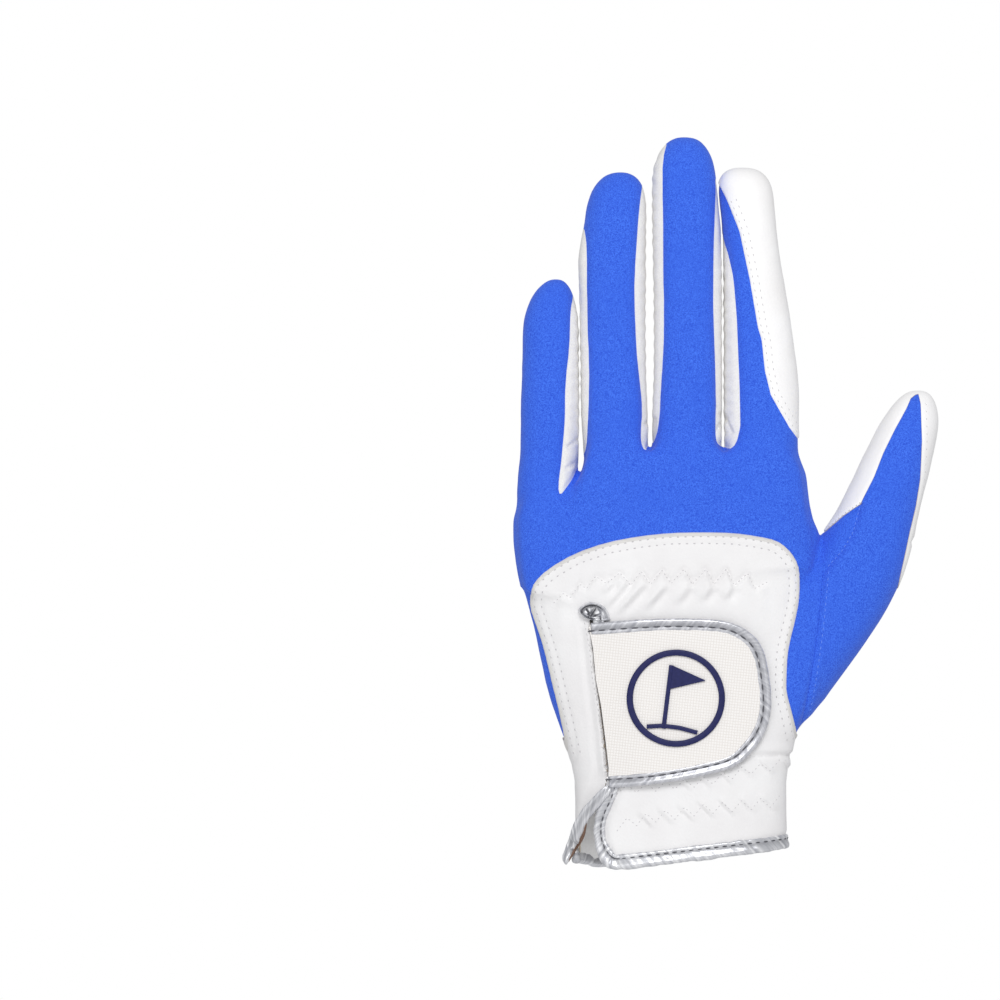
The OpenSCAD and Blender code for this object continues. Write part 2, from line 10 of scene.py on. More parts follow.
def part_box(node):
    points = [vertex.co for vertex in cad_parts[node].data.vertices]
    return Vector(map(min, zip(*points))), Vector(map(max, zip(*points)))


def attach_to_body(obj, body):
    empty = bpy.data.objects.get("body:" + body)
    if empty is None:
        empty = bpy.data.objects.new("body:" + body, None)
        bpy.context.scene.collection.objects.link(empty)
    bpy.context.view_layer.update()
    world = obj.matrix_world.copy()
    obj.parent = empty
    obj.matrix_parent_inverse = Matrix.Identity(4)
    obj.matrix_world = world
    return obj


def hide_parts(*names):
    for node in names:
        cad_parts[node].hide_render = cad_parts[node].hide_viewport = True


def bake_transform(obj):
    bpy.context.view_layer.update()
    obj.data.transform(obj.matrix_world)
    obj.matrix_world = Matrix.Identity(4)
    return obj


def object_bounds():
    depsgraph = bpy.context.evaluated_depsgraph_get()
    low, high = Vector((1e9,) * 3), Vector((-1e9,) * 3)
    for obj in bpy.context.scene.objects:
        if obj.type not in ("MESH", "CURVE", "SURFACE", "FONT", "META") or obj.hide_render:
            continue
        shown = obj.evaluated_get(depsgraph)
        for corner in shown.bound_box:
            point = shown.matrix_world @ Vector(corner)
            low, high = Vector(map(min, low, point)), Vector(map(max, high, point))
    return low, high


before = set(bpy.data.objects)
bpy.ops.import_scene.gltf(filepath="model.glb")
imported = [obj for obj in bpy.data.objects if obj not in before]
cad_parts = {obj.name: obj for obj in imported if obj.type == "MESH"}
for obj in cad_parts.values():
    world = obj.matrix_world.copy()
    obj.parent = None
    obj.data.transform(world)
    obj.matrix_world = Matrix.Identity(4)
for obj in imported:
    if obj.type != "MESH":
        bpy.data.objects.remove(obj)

CAD_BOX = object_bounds()
MM = 0.001  # all the shape work is in millimetres, and each mesh is made in metres
CELL = 0.7
GAP_CELL = 0.25
GAP_REACH = 2.2  # the finer cells reach this far from a gap

# ---------------------------------------------------------------- camera and stage

VIEW_CENTRE = (-57.0, 105.0)  # the middle of the picture, x and z
VIEW_WIDTH = 300.0
CAMERA_DISTANCE = 2000.0
SENSOR_WIDTH = 36.0
LIGHTS_AIM = (0.01, 0, 0.1)  # metres; near the middle of the glove
FLOOR_DROP = 0.3  # the floor is this far below the glove, out of the main picture


def add_camera():
    """The main view: straight at the back of the glove, from far enough away to show it almost flat."""
    data = bpy.data.cameras.new("camera")
    data.sensor_width = SENSOR_WIDTH
    data.lens = SENSOR_WIDTH * CAMERA_DISTANCE / VIEW_WIDTH
    data.clip_end = 20.0
    camera = bpy.data.objects.new("camera", data)
    camera.location = (VIEW_CENTRE[0] * MM, -CAMERA_DISTANCE * MM, VIEW_CENTRE[1] * MM)
    camera.rotation_euler = (math.radians(90), 0, 0)
    bpy.context.collection.objects.link(camera)
    bpy.context.scene.camera = camera


def add_light(name, place, size, power):
    """A soft round light; its place and size are in metres, and its power in watts."""
    data = bpy.data.lights.new(name, "AREA")
    data.shape = "DISK"
    data.size = size
    data.energy = power
    light = bpy.data.objects.new(name, data)
    light.location = place
    aim = Vector(LIGHTS_AIM) - light.location
    light.rotation_euler = aim.to_track_quat("-Z", "Y").to_euler()
    bpy.context.collection.objects.link(light)


def add_world():
    """Even light from all round, behind a background that the camera sees as plain white."""
    world = bpy.data.worlds.new("studio")
    world.use_nodes = True
    nodes = world.node_tree.nodes
    links = world.node_tree.links
    soft = nodes["Background"]
    soft.inputs["Color"].default_value = (0.97, 0.98, 1.0, 1)
    soft.inputs["Strength"].default_value = 0.54
    white = nodes.new("ShaderNodeBackground")
    white.inputs["Color"].default_value = (1, 1, 1, 1)
    path = nodes.new("ShaderNodeLightPath")
    mix = nodes.new("ShaderNodeMixShader")
    links.new(path.outputs["Is Camera Ray"], mix.inputs[0])
    links.new(soft.outputs[0], mix.inputs[1])
    links.new(white.outputs[0], mix.inputs[2])
    links.new(mix.outputs[0], nodes["World Output"].inputs["Surface"])
    bpy.context.scene.world = world
    bpy.context.scene.view_settings.view_transform = "Standard"
    bpy.context.scene.view_settings.look = "None"


# ---------------------------------------------------------------- materials


def linear(colour):
    """An sRGB colour from 0 to 255 as linear values, and opaque."""
    values = [v / 255 for v in colour]
    return (*(v / 12.92 if v <= 0.04045 else ((v + 0.055) / 1.055) ** 2.4 for v in values), 1)


class Shader:
    """A material's node tree, with short calls for the nodes used here. Colours are sRGB, from 0 to 255."""

    def __init__(self, name):
        self.material = bpy.data.materials.new(name)
        self.material.use_nodes = True
        self.nodes = self.material.node_tree.nodes
        self.links = self.material.node_tree.links
        self.out = self.nodes["Principled BSDF"]
        self.coords = self.nodes.new("ShaderNodeTexCoord").outputs["Object"]

    def link(self, source, target):
        self.links.new(source, target)

    def node(self, kind, **values):
        """A node of this kind. Values named in_... go to its inputs, and the others to its own settings."""
        n = self.nodes.new("ShaderNode" + kind)
        for key, value in values.items():
            if key.startswith("in_"):
                n.inputs[key[3:].replace("_", " ")].default_value = value
            else:
                setattr(n, key, value)
        return n

    def mapped(self, setting, value, vector=None):
        """Coordinates with one setting of a mapping node: its scale or its rotation."""
        mapping = self.node("Mapping")
        mapping.inputs[setting].default_value = value
        self.link(vector or self.coords, mapping.inputs["Vector"])
        return mapping.outputs["Vector"]

    def wave(self, millimetres, direction, vector=None, **values):
        """Bands that repeat at this distance along the x or z direction."""
        n = self.node("TexWave", in_Scale=bands(millimetres), bands_direction=direction, **values)
        self.link(vector or self.coords, n.inputs["Vector"])
        return n.outputs["Fac"]

    def noise(self, per_metre, detail=3.0, vector=None):
        """Smooth noise with this many features a metre."""
        n = self.node("TexNoise", in_Scale=per_metre, in_Detail=detail)
        self.link(vector or self.coords, n.inputs["Vector"])
        return n.outputs["Fac"]

    def cells(self, per_metre):
        """Rounded cells, this many a metre."""
        n = self.node("TexVoronoi", in_Scale=per_metre, feature="F1")
        self.link(self.coords, n.inputs["Vector"])
        return n.outputs["Distance"]

    def ramp(self, source, low, high, out_low=0.0, out_high=1.0):
        """The source as it goes from low to high, changed to go between the two output values."""
        n = self.node("MapRange", in_From_Min=low, in_From_Max=high, in_To_Min=out_low, in_To_Max=out_high)
        self.link(source, n.inputs["Value"])
        return n.outputs["Result"]

    def feed(self, socket, value):
        """Gives a socket a number or a colour, or links it to another node's output."""
        if isinstance(value, tuple):
            socket.default_value = linear(value)
        elif isinstance(value, (int, float)):
            socket.default_value = value
        else:
            self.link(value, socket)

    def maths(self, operation, a, b):
        """The result of one operation of a Math node."""
        n = self.node("Math", operation=operation)
        self.feed(n.inputs[0], a)
        self.feed(n.inputs[1], b)
        return n.outputs[0]

    def blend_colour(self, factor, a, b):
        """Colour a where the factor is 0, colour b where it is 1."""
        n = self.node("Mix", data_type="RGBA")
        self.link(factor, n.inputs["Factor"])
        self.feed(n.inputs["A"], a)
        self.feed(n.inputs["B"], b)
        return n.outputs["Result"]

    def colour(self, source):
        self.link(source, self.out.inputs["Base Color"])

    def bump(self, *heights):
        """Each height is (source, strength, distance in metres)."""
        last = None
        for source, strength, distance in heights:
            n = self.node("Bump", in_Strength=strength, in_Distance=distance)
            self.link(source, n.inputs["Height"])
            if last:
                self.link(last, n.inputs["Normal"])
            last = n.outputs["Normal"]
        self.link(last, self.out.inputs["Normal"])

    def set(self, **values):
        """Sets the material's own values, and gives the finished material."""
        for key, value in values.items():
            self.out.inputs[key.replace("_", " ")].default_value = value
        return self.material


def bands(millimetres):
    """The wave node's scale for bands that repeat at this distance."""
    return 2 * math.pi / (20 * millimetres * MM)


def make_knit():
    """Blue four-way stretch knit: fine wales and courses, slightly mottled."""
    s = Shader("blue_knit")
    grain = s.noise(2600, 2.0)
    patch = s.noise(90, 2.0)
    wales = s.wave(0.55, "X", in_Distortion=1.2, in_Detail=1.0)
    courses = s.wave(0.45, "Z", in_Distortion=1.2, in_Detail=1.0)
    loops = s.maths("MULTIPLY", wales, courses)
    tone = s.blend_colour(s.ramp(grain, 0.32, 0.68), (42, 82, 208), (74, 124, 246))
    tone = s.blend_colour(s.ramp(patch, 0.35, 0.7, 0.0, 0.3), tone, (56, 102, 228))
    s.colour(tone)
    s.bump((loops, 0.35, 0.00012), (grain, 0.25, 0.0001))
    return s.set(Roughness=0.92, Specular_IOR_Level=0.15, Sheen_Weight=0.12, Sheen_Roughness=0.5)


def make_leather(name, light, dark, grain_size, roughness):
    """White leather or synthetic leather: fine pebbled grain and soft, uneven tone."""
    s = Shader(name)
    pebble = s.cells(grain_size)
    pores = s.noise(grain_size * 2.4, 2.0)
    clouds = s.noise(60, 3.0)
    s.colour(s.blend_colour(s.ramp(clouds, 0.3, 0.75), light, dark))
    s.bump((pebble, 0.22, 0.0002), (pores, 0.15, 0.00012), (clouds, 0.2, 0.0008))
    s.link(s.ramp(pores, 0.3, 0.7, roughness - 0.06, roughness + 0.1), s.out.inputs["Roughness"])
    return s.set(Specular_IOR_Level=0.3)


TAPE_COORDS = "tape"  # the attribute that holds a tape's own coordinates


def make_silver(name, light, dark, folded, groove_shade, metal):
    """Silver-coated tape: a thin metallic film over cloth. Its colour is painted light and dark in streaks
    along slanting folds, as painted highlights and shade, with grey patches of painted shade, and painted
    shade darkens the stitch groove.

    The tape's own coordinates, along it and across it in millimetres, are kept on its mesh."""
    s = Shader(name)
    own = s.node("Attribute", attribute_name=TAPE_COORDS).outputs["Vector"]
    streaks = s.noise(0.75, 1.5, s.mapped("Scale", (1.0, 0.22, 0.3), own))
    patches = s.noise(0.3, 1.5, own)
    fine = s.noise(2600, 3.0)
    # Painted highlights and shade: the colour runs from dark to light along the slanting fold streaks.
    tone = s.blend_colour(s.ramp(streaks, 0.5 - folded, 0.5 + folded), dark, light)
    # Painted shade: grey patches over the tape.
    tone = s.blend_colour(s.ramp(patches, 0.44, 0.62, 0.0, 0.6), tone, (188, 189, 194))
    across = s.node("SeparateXYZ")
    s.link(own, across.inputs["Vector"])
    width = across.outputs["Y"]
    # Painted shade: the colour darkens in a band across the tape at its stitch groove.
    painted_groove_shade = s.maths("MULTIPLY", s.ramp(width, 0.27, 0.55), s.ramp(width, 0.72, 0.62))
    tone = s.blend_colour(s.maths("MULTIPLY", painted_groove_shade, groove_shade), tone, (104, 105, 112))
    s.colour(tone)
    s.bump((streaks, 0.25, 0.0004), (patches, 0.3, 0.0008), (fine, 0.15, 0.00012))
    s.link(s.ramp(fine, 0.3, 0.7, 0.28, 0.42), s.out.inputs["Roughness"])
    return s.set(Metallic=metal)


def make_weave():
    """The tab's face: an off-white open square weave."""
    s = Shader("woven_face")
    tilted = s.mapped("Rotation", (0, math.radians(-6), 0))
    warp = s.wave(0.82, "X", tilted, wave_profile="SIN")
    weft = s.wave(0.82, "Z", tilted, wave_profile="SIN")
    grid = s.maths("MINIMUM", warp, weft)
    s.colour(s.blend_colour(s.ramp(grid, 0.0, 0.3), (231, 226, 221), (246, 243, 240)))
    s.bump((grid, 0.35, 0.00012), (s.noise(3000, 2.0), 0.15, 0.0001))
    return s.set(Roughness=0.8, Specular_IOR_Level=0.25)


def make_fine_cloth(name, light, dark, scale=2200, roughness=0.85):
    """Thin fourchette knit, elastic tape and thread."""
    s = Shader(name)
    fibres = s.noise(scale, 3.0)
    folds = s.noise(120, 2.0, s.mapped("Scale", (0.5, 0.5, 1.8)))
    tone = s.blend_colour(s.ramp(fibres, 0.3, 0.7), dark, light)
    s.colour(s.blend_colour(s.ramp(folds, 0.35, 0.7, 0.0, 0.35), tone, dark))
    s.bump((fibres, 0.3, 0.00015), (folds, 0.25, 0.0006))
    return s.set(Roughness=roughness, Specular_IOR_Level=0.2)


def make_rubber(name, colour, other, roughness, **values):
    """Moulded rubber or silicone: smooth, with a faint mottle."""
    s = Shader(name)
    mottle = s.noise(900, 3.0)
    s.colour(s.blend_colour(s.ramp(mottle, 0.3, 0.7), colour, other))
    s.bump((mottle, 0.12, 0.0002))
    s.link(s.ramp(mottle, 0.3, 0.7, roughness - 0.05, roughness + 0.08), s.out.inputs["Roughness"])
    return s.set(**values)


# Cloths, tapes and threads: material name, light and dark colour, and where they differ from the usual
# ones, grain a metre and roughness.
FINE_CLOTHS = {
    "fork": ("fourchette_knit", (247, 246, 243), (231, 229, 227)),
    "edge": ("raw_edge", (226, 214, 196), (196, 180, 160), 3000),
    "thread": ("white_thread", (236, 235, 235), (206, 205, 206), 4000),
    # Needle holes are drawn as grey beads; their grey is painted shade in the holes.
    "hole": ("needle_hole", (214, 212, 213), (190, 188, 190), 4000),
    "brown": ("raw_leather", (150, 122, 106), (112, 88, 76), 2600, 0.9),
    "blue_thread": ("blue_thread", (126, 164, 250), (92, 134, 240), 4000),
    # Dark blue beads that paint the shade in the thumb seam's groove.
    "painted_seam_shade_blue": ("painted_seam_shade_blue", (48, 88, 212), (40, 76, 196), 4000),
    # Grey thread for stitches, also used for dark beads that paint the shade in the slit gather's creases.
    "dark_thread_and_crease_shade": ("grey_thread_and_crease_shade", (112, 112, 118), (74, 74, 80), 4000),
    "lining": ("lining", (252, 251, 250), (242, 241, 240), 1500),
    "loops": ("loop_field", (240, 240, 240), (214, 214, 214), 1100, 0.95),
    "label": ("label_tape", (246, 246, 246), (232, 232, 232), 1700, 0.5),
    "elastic": ("elastic_tape", (232, 232, 232), (198, 198, 200), 1800),
    "floor": ("floor", (250, 250, 250), (246, 246, 246), 200, 0.9),
    "hooks": ("hook_field", (226, 226, 226), (170, 170, 172), 900, 0.5),
}
MATERIALS = {
    "knit": make_knit(),
    "weave": make_weave(),
    "yoke": make_leather("yoke_leather", (243, 242, 242), (235, 233, 233), 1300, 0.6),
    "leather": make_leather("white_leather", (253, 252, 252), (245, 243, 242), 1700, 0.55),
    # The yoke's folded edge: its own slightly beige tone, greyed further as painted shade of the fold.
    "fold": make_leather("folded_edge_tone_and_shade", (228, 226, 223), (214, 211, 208), 1500, 0.65),
    # The silver tapes' colour holds painted highlights and shade; the fifth number sets how much painted
    # shade darkens the stitch groove.
    "silver": make_silver("silver_tape", (250, 250, 251), (180, 181, 187), 0.18, 0.3, 0.5),
    "piping": make_silver("silver_piping", (232, 232, 236), (176, 177, 184), 0.2, 0.5, 0.6),
    "navy": make_rubber("navy_rubber", (34, 38, 92), (27, 31, 80), 0.5, Specular_IOR_Level=0.3),
    "silicone": make_rubber("clear_silicone", (238, 241, 244), (228, 232, 236), 0.32, Coat_Weight=0.3,
                            Coat_Roughness=0.25),
    **{look: make_fine_cloth(*row) for look, row in FINE_CLOTHS.items()},
}

# ---------------------------------------------------------------- noise and curves


NOISE_TURN = np.array([[0.64, -0.6, 0.48], [0.48, 0.8, 0.36], [-0.6, 0.0, 0.8]])


def noise(points, size, seed=0):
    """Smooth noise from -1 to 1 over points, with features of about that size."""
    q = np.asarray(points, float) @ NOISE_TURN / size + 0.37 * (seed + 1)
    cell = np.floor(q).astype(np.int64)
    f = q - cell
    f = f**3 * (f * (6 * f - 15) + 10)
    total = np.zeros(len(q))
    for corner in range(8):
        step = np.array([corner & 1, corner >> 1 & 1, corner >> 2 & 1])
        c = cell + step
        h = (c[:, 0] * 73856093) ^ (c[:, 1] * 19349663) ^ (c[:, 2] * 83492791) ^ (seed * 49979687 + 12345)
        h = (h ^ (h >> 13)) * 1274126177
        h = (h ^ (h >> 16)) & 0xFFFF
        weight = np.prod(np.where(step, f, 1 - f), axis=1)
        total += weight * (h / 32767.5 - 1)
    return total


def unit(vectors):
    """The vectors, each made 1 long."""
    return vectors / np.maximum(np.linalg.norm(vectors, axis=-1, keepdims=True), 1e-12)


def smooth_step(v, low, high):
    """0 below low and 1 above high, with a smooth rise between them."""
    t = np.clip((v - low) / (high - low), 0, 1)
    return t * t * (3 - 2 * t)


def smooth_curve(knots):
    """Function giving every column of the table at any value of its first column, with no overshoot."""
    table = np.array(knots, float)
    at, v = table[:, 0], table[:, 1:]
    rate = np.diff(v, axis=0) / np.diff(at)[:, None]
    m = np.zeros_like(v)
    m[0], m[-1] = rate[0], rate[-1]
    same = rate[:-1] * rate[1:] > 0
    total = np.where(same, rate[:-1] + rate[1:], 1)
    m[1:-1] = np.where(same, 2 * rate[:-1] * rate[1:] / total, 0)

    def value(q):
        """The columns at q, which is held to the table's range."""
        q = np.clip(q, at[0], at[-1])
        i = np.clip(np.searchsorted(at, q, side="right") - 1, 0, len(at) - 2)
        h = (at[i + 1] - at[i])[..., None]
        t = ((q - at[i]) / (at[i + 1] - at[i]))[..., None]
        return (
            (2 * t**3 - 3 * t**2 + 1) * v[i] + (t**3 - 2 * t**2 + t) * h * m[i]
            + (3 * t**2 - 2 * t**3) * v[i + 1] + (t**3 - t**2) * h * m[i + 1]
        )
    return value


def rounded(outline, passes=2, closed=True):
    """Corner-cut copy of an outline of (x, z) points."""
    p = np.array(outline, float)
    for _ in range(passes):
        q = np.roll(p, -1, axis=0) if closed else p[1:]
        a = p if closed else p[:-1]
        cut = np.stack([a * 0.75 + q * 0.25, a * 0.25 + q * 0.75], axis=1).reshape(-1, 2)
        p = cut if closed else np.vstack([p[:1], cut[1:-1], p[-1:]])
    return p


def line_distance(points, line, closed=False):
    """Distance of (x, z) points from a polyline."""
    line = np.asarray(line, float)
    if closed:
        line = np.vstack([line, line[:1]])
    best = np.full(len(points), 1e9)
    for a, b in zip(line[:-1], line[1:]):
        ab = b - a
        t = np.clip(((points - a) @ ab) / max(ab @ ab, 1e-12), 0, 1)
        d = points - (a + t[:, None] * ab)
        best = np.minimum(best, (d * d).sum(1))
    return np.sqrt(best)


def inside(points, outline):
    """Signed distance of (x, z) points from an outline, positive inside it."""
    p = np.asarray(outline, float)
    x, z = points[:, 0], points[:, 1]
    odd = np.zeros(len(points), bool)
    for (x0, z0), (x1, z1) in zip(p, np.roll(p, -1, axis=0)):
        crosses = (z0 > z) != (z1 > z)
        if abs(z1 - z0) > 1e-12:
            odd ^= crosses & (x < (x1 - x0) * (z - z0) / (z1 - z0) + x0)
    d = line_distance(points, p, True)
    return np.where(odd, d, -d)


# ---------------------------------------------------------------- the hand's form

# Rows of each limb: [z, little side x, thumb side x, half thickness, middle y].
HAND = [
    [-12, -34.8, 28.8, 13.2, 0], [0, -34, 28.5, 13.4, 0], [12, -33.7, 28.1, 13.2, 0],
    [20, -33.8, 28.2, 12.9, 0], [25, -34.6, 28.8, 12.7, 0], [29, -35.8, 29.6, 12.6, 0],
    [37, -39, 31.5, 12.4, 0], [46, -42, 33.5, 12.4, 0], [56, -44.4, 35, 12.5, 0],
    [66, -46.6, 36, 12.6, 0], [75, -49, 37, 12.5, 0], [84.5, -51.7, 38.4, 12.1, 0],
    [93.5, -52.7, 38.8, 11.5, 0], [100, -52.5, 36.6, 11, 0], [106, -52, 35.1, 10.5, 0],
    [115, -51.2, 33.8, 9.8, 0.2], [123, -50.8, 32.6, 9.2, 0.4],
]
# Each limb is closed over its tip, which runs from the first height to the second.
LIMBS = {
    "middle": dict(
        rows=[[88, -11, 9, 7.8, 0], [121, -11.6, 9.6, 8.9, 0.3], [131, -11.4, 9.7, 8.9, 0.5],
              [145, -10.9, 9.7, 8.8, 1], [165, -10.8, 9.7, 8.6, 1.9], [185, -11.2, 9.4, 8.3, 3.3],
              [194, -11.3, 8.6, 8, 4.3], [203, -11.3, 8.0, 7.8, 5.2], [215, -10.8, 8.2, 7.6, 6.4]],
        tip=(198.6, 214.2)),
    "ring": dict(
        rows=[[88, -31, -13.4, 7.6, 0], [121, -32.3, -12.4, 8.8, 0.3], [131, -32.7, -12.6, 8.7, 0.7],
              [145, -32.8, -13.1, 8.5, 1.3], [160, -33.1, -13.3, 8.4, 2.1], [176, -33.6, -13.2, 8.2, 3.3],
              [190, -31.6, -13.0, 7.8, 4.6], [204, -30.1, -11.6, 7.6, 5.8]],
        tip=(189, 203.6)),
    "index": dict(
        rows=[[88, 11, 35, 7.8, 0], [109, 10.8, 34.2, 8.4, 0], [115, 10.7, 33.4, 8.7, 0.1],
              [121, 10.3, 32.4, 8.8, 0.3], [134, 10.1, 32.3, 8.7, 0.8], [153, 10.1, 30.6, 8.5, 1.7],
              [177, 10.1, 27, 8.2, 3.4], [186, 9.9, 25.9, 8, 4.1], [195, 9.1, 24.9, 7.7, 4.9],
              [203, 8.4, 24.0, 7.4, 5.7], [206, 8.3, 23.6, 7.3, 6]],
        tip=(195.5, 204.6), tip_power=2.7),
    "little": dict(
        rows=[[80, -50, -36, 7, 0], [107, -51.8, -33.6, 8.1, 0.2], [121, -50.9, -33.2, 8.1, 0.6],
              [140, -50.4, -33.3, 7.8, 1.5], [156, -50, -33.4, 7.4, 2.8], [165, -48.6, -33.7, 7, 3.8],
              [172, -46.6, -33.4, 6.6, 4.6]],
        tip=(157.5, 171.4)),
    "thumb": dict(
        rows=[[12, 2, 20, 8, 2], [28, 6, 26.5, 10, 2.2], [37, 12, 33.2, 11, 2.5], [46, 17, 41, 11.6, 2.8],
              [56, 21, 48.4, 12, 3], [66, 26, 55.4, 12.2, 3.2], [75, 30, 60.7, 12.2, 3.4],
              [84.6, 35, 64.9, 11.8, 3.6], [94, 39.3, 67.4, 11.3, 3.9], [102, 44.4, 69, 10.8, 4.3],
              [110.4, 48.8, 71, 10.3, 4.8],
              [120.6, 53.6, 73.4, 9.5, 5.8], [129, 57.6, 75, 8.9, 7], [138, 61.8, 76, 8.4, 8.2]],
        tip=(122.5, 137.7), tip_power=2.6),
}
HAND_POWER = 2.6  # how square the sections are: 2 is an ellipse, and more is squarer
LIMB_POWER = 2.25
TIP_POWER = 2.35
HAND_TOP = (119.8, 106.2)  # under the ring, middle and index stalls, and under the little one
HAND_TOP_ROUND = 9.0  # height over which the hand closes under the stalls
HAND_TOP_POWER = 3.0
HAND_AT = smooth_curve(HAND)
LIMB_AT = {name: smooth_curve(limb["rows"]) for name, limb in LIMBS.items()}


def capped(n, slope, z, low, high, power):
    """Closes a section function n at its end, where z runs from low to high."""
    t = np.clip((z - low) / (high - low), 0, None)
    whole = (n**power + t**power) ** (1 / power)
    safe = np.maximum(whole, 1e-6)
    along = np.where(t > 0, (t / safe) ** (power - 1) / (high - low), 0)
    return whole, np.hypot(slope * (n / safe) ** (power - 1), along)


def section_distance(x, y, z, row, power, ends):
    """Rough distance outside a limb whose sections are rounded boxes, closed at its tip."""
    middle = (row[..., 0] + row[..., 1]) / 2
    a = (row[..., 1] - row[..., 0]) / 2
    u = np.abs(x - middle) / a
    v = np.abs(y - row[..., 3]) / row[..., 2]
    n = np.maximum((u**power + v**power) ** (1 / power), 1e-6)
    slope = np.hypot((u / n) ** (power - 1) / a, (v / n) ** (power - 1) / row[..., 2])
    n, slope = capped(n, slope, z, *ends)
    return (n - 1) / np.maximum(slope, 0.02)


def blend_min(a, b, k):
    """The lesser of two distances, with a rounded corner of about size k where they meet."""
    h = np.clip(0.5 + 0.5 * (b - a) / k, 0, 1)
    return b * (1 - h) + a * h - k * h * (1 - h)


def hand_top(x):
    """Height where the hand itself ends, under the stalls."""
    return HAND_TOP[0] - (HAND_TOP[0] - HAND_TOP[1]) * smooth_step(-x, 29, 37)


def form(x, y, z):
    """Distance outside the whole hand. The arrays are broadcast together."""
    top = hand_top(x)
    hand = section_distance(x, y, z, HAND_AT(z), HAND_POWER, (top - HAND_TOP_ROUND, top, HAND_TOP_POWER))
    whole = None
    for name, limb in LIMBS.items():
        low, high = limb["tip"]
        ends = (low, high, limb.get("tip_power", TIP_POWER))
        d = section_distance(x, y, z, LIMB_AT[name](z), LIMB_POWER, ends)
        start = limb["rows"][0][0]
        d = np.maximum(d, start - z)
        if name == "thumb":
            k = 2.2 + 5 * smooth_step(-z, -90, -70) * smooth_step(z, 30, 55)
        else:
            k = 3.0 + 5.0 * smooth_step(np.abs(y), 3, 8)
        joined = blend_min(hand, d, k)
        whole = joined if whole is None else np.minimum(whole, joined)
    return whole


def gradient(p, step=0.15):
    """How the form's distance changes along x, y and z at each point."""
    parts = []
    for axis in range(3):
        move = np.zeros(3)
        move[axis] = step
        q, r = p + move, p - move
        parts.append(form(q[:, 0], q[:, 1], q[:, 2]) - form(r[:, 0], r[:, 1], r[:, 2]))
    return np.stack(parts, axis=1) / (2 * step)


def steps(low, high, cell, gaps=()):
    """Values a cell apart from low to high, and much closer near the narrow gaps between the limbs."""
    values = [low]
    while values[-1] < high:
        near = min((abs(values[-1] - gap) for gap in gaps), default=99)
        values.append(values[-1] + (GAP_CELL if near < GAP_REACH else cell))
    return np.array(values)


def surface_net(axes):
    """Quads on the form's surface, found on a grid with these x, y and z values."""
    field = form(axes[0][:, None, None], axes[1][None, :, None], axes[2][None, None, :])
    solid = field < 0
    shape = np.array(field.shape) - 1
    corners = [(i, j, k) for i in (0, 1) for j in (0, 1) for k in (0, 1)]

    def corner(array, c):
        i, j, k = c
        return array[i:i + shape[0], j:j + shape[1], k:k + shape[2]]

    count = sum(corner(solid, c).astype(np.int8) for c in corners)
    cells = np.argwhere((count > 0) & (count < 8))
    number = np.full(shape, -1, np.int64)
    number[tuple(cells.T)] = np.arange(len(cells))
    total = np.zeros((len(cells), 3))
    hits = np.zeros(len(cells))
    for a in corners:
        for axis in range(3):
            if a[axis]:
                continue
            b = list(a)
            b[axis] = 1
            fa = field[tuple((cells + a).T)]
            fb = field[tuple((cells + b).T)]
            cross = (fa < 0) != (fb < 0)
            t = np.where(cross, fa / np.where(cross, fa - fb, 1), 0)
            place = np.array(a, float) + np.outer(t, np.eye(3)[axis])
            total[cross] += place[cross]
            hits += cross
    places = cells + total / hits[:, None]
    points = np.stack([np.interp(places[:, k], np.arange(len(axes[k])), axes[k]) for k in range(3)], axis=1)
    quads = []
    for axis in range(3):
        u, v = (axis + 1) % 3, (axis + 2) % 3
        here = [slice(None)] * 3
        there = [slice(None)] * 3
        here[axis] = slice(0, -1)
        there[axis] = slice(1, None)
        a, b = solid[tuple(here)], solid[tuple(there)]
        for mask, flip in ((a & ~b, False), (~a & b, True)):
            e = np.argwhere(mask)
            e = e[(e[:, u] > 0) & (e[:, v] > 0) & (e[:, u] < shape[u]) & (e[:, v] < shape[v])]
            ring = []
            for du, dv in ((-1, -1), (0, -1), (0, 0), (-1, 0)):
                c = e.copy()
                c[:, u] += du
                c[:, v] += dv
                ring.append(number[tuple(c.T)])
            quad = np.stack(ring, axis=1)
            quads.append(quad[:, ::-1] if flip else quad)
    quads = np.vstack(quads)
    quads = quads[(quads >= 0).all(axis=1)]
    return points, quads


def settle(points, rounds=3):
    """Moves points onto the form's surface and gives its normals there."""
    for _ in range(rounds):
        g = gradient(points)
        size = np.maximum((g * g).sum(1), 0.04)
        d = form(points[:, 0], points[:, 1], points[:, 2])
        points = points - g * np.clip(d / size, -0.6, 0.6)[:, None]
    return points, unit(gradient(points))


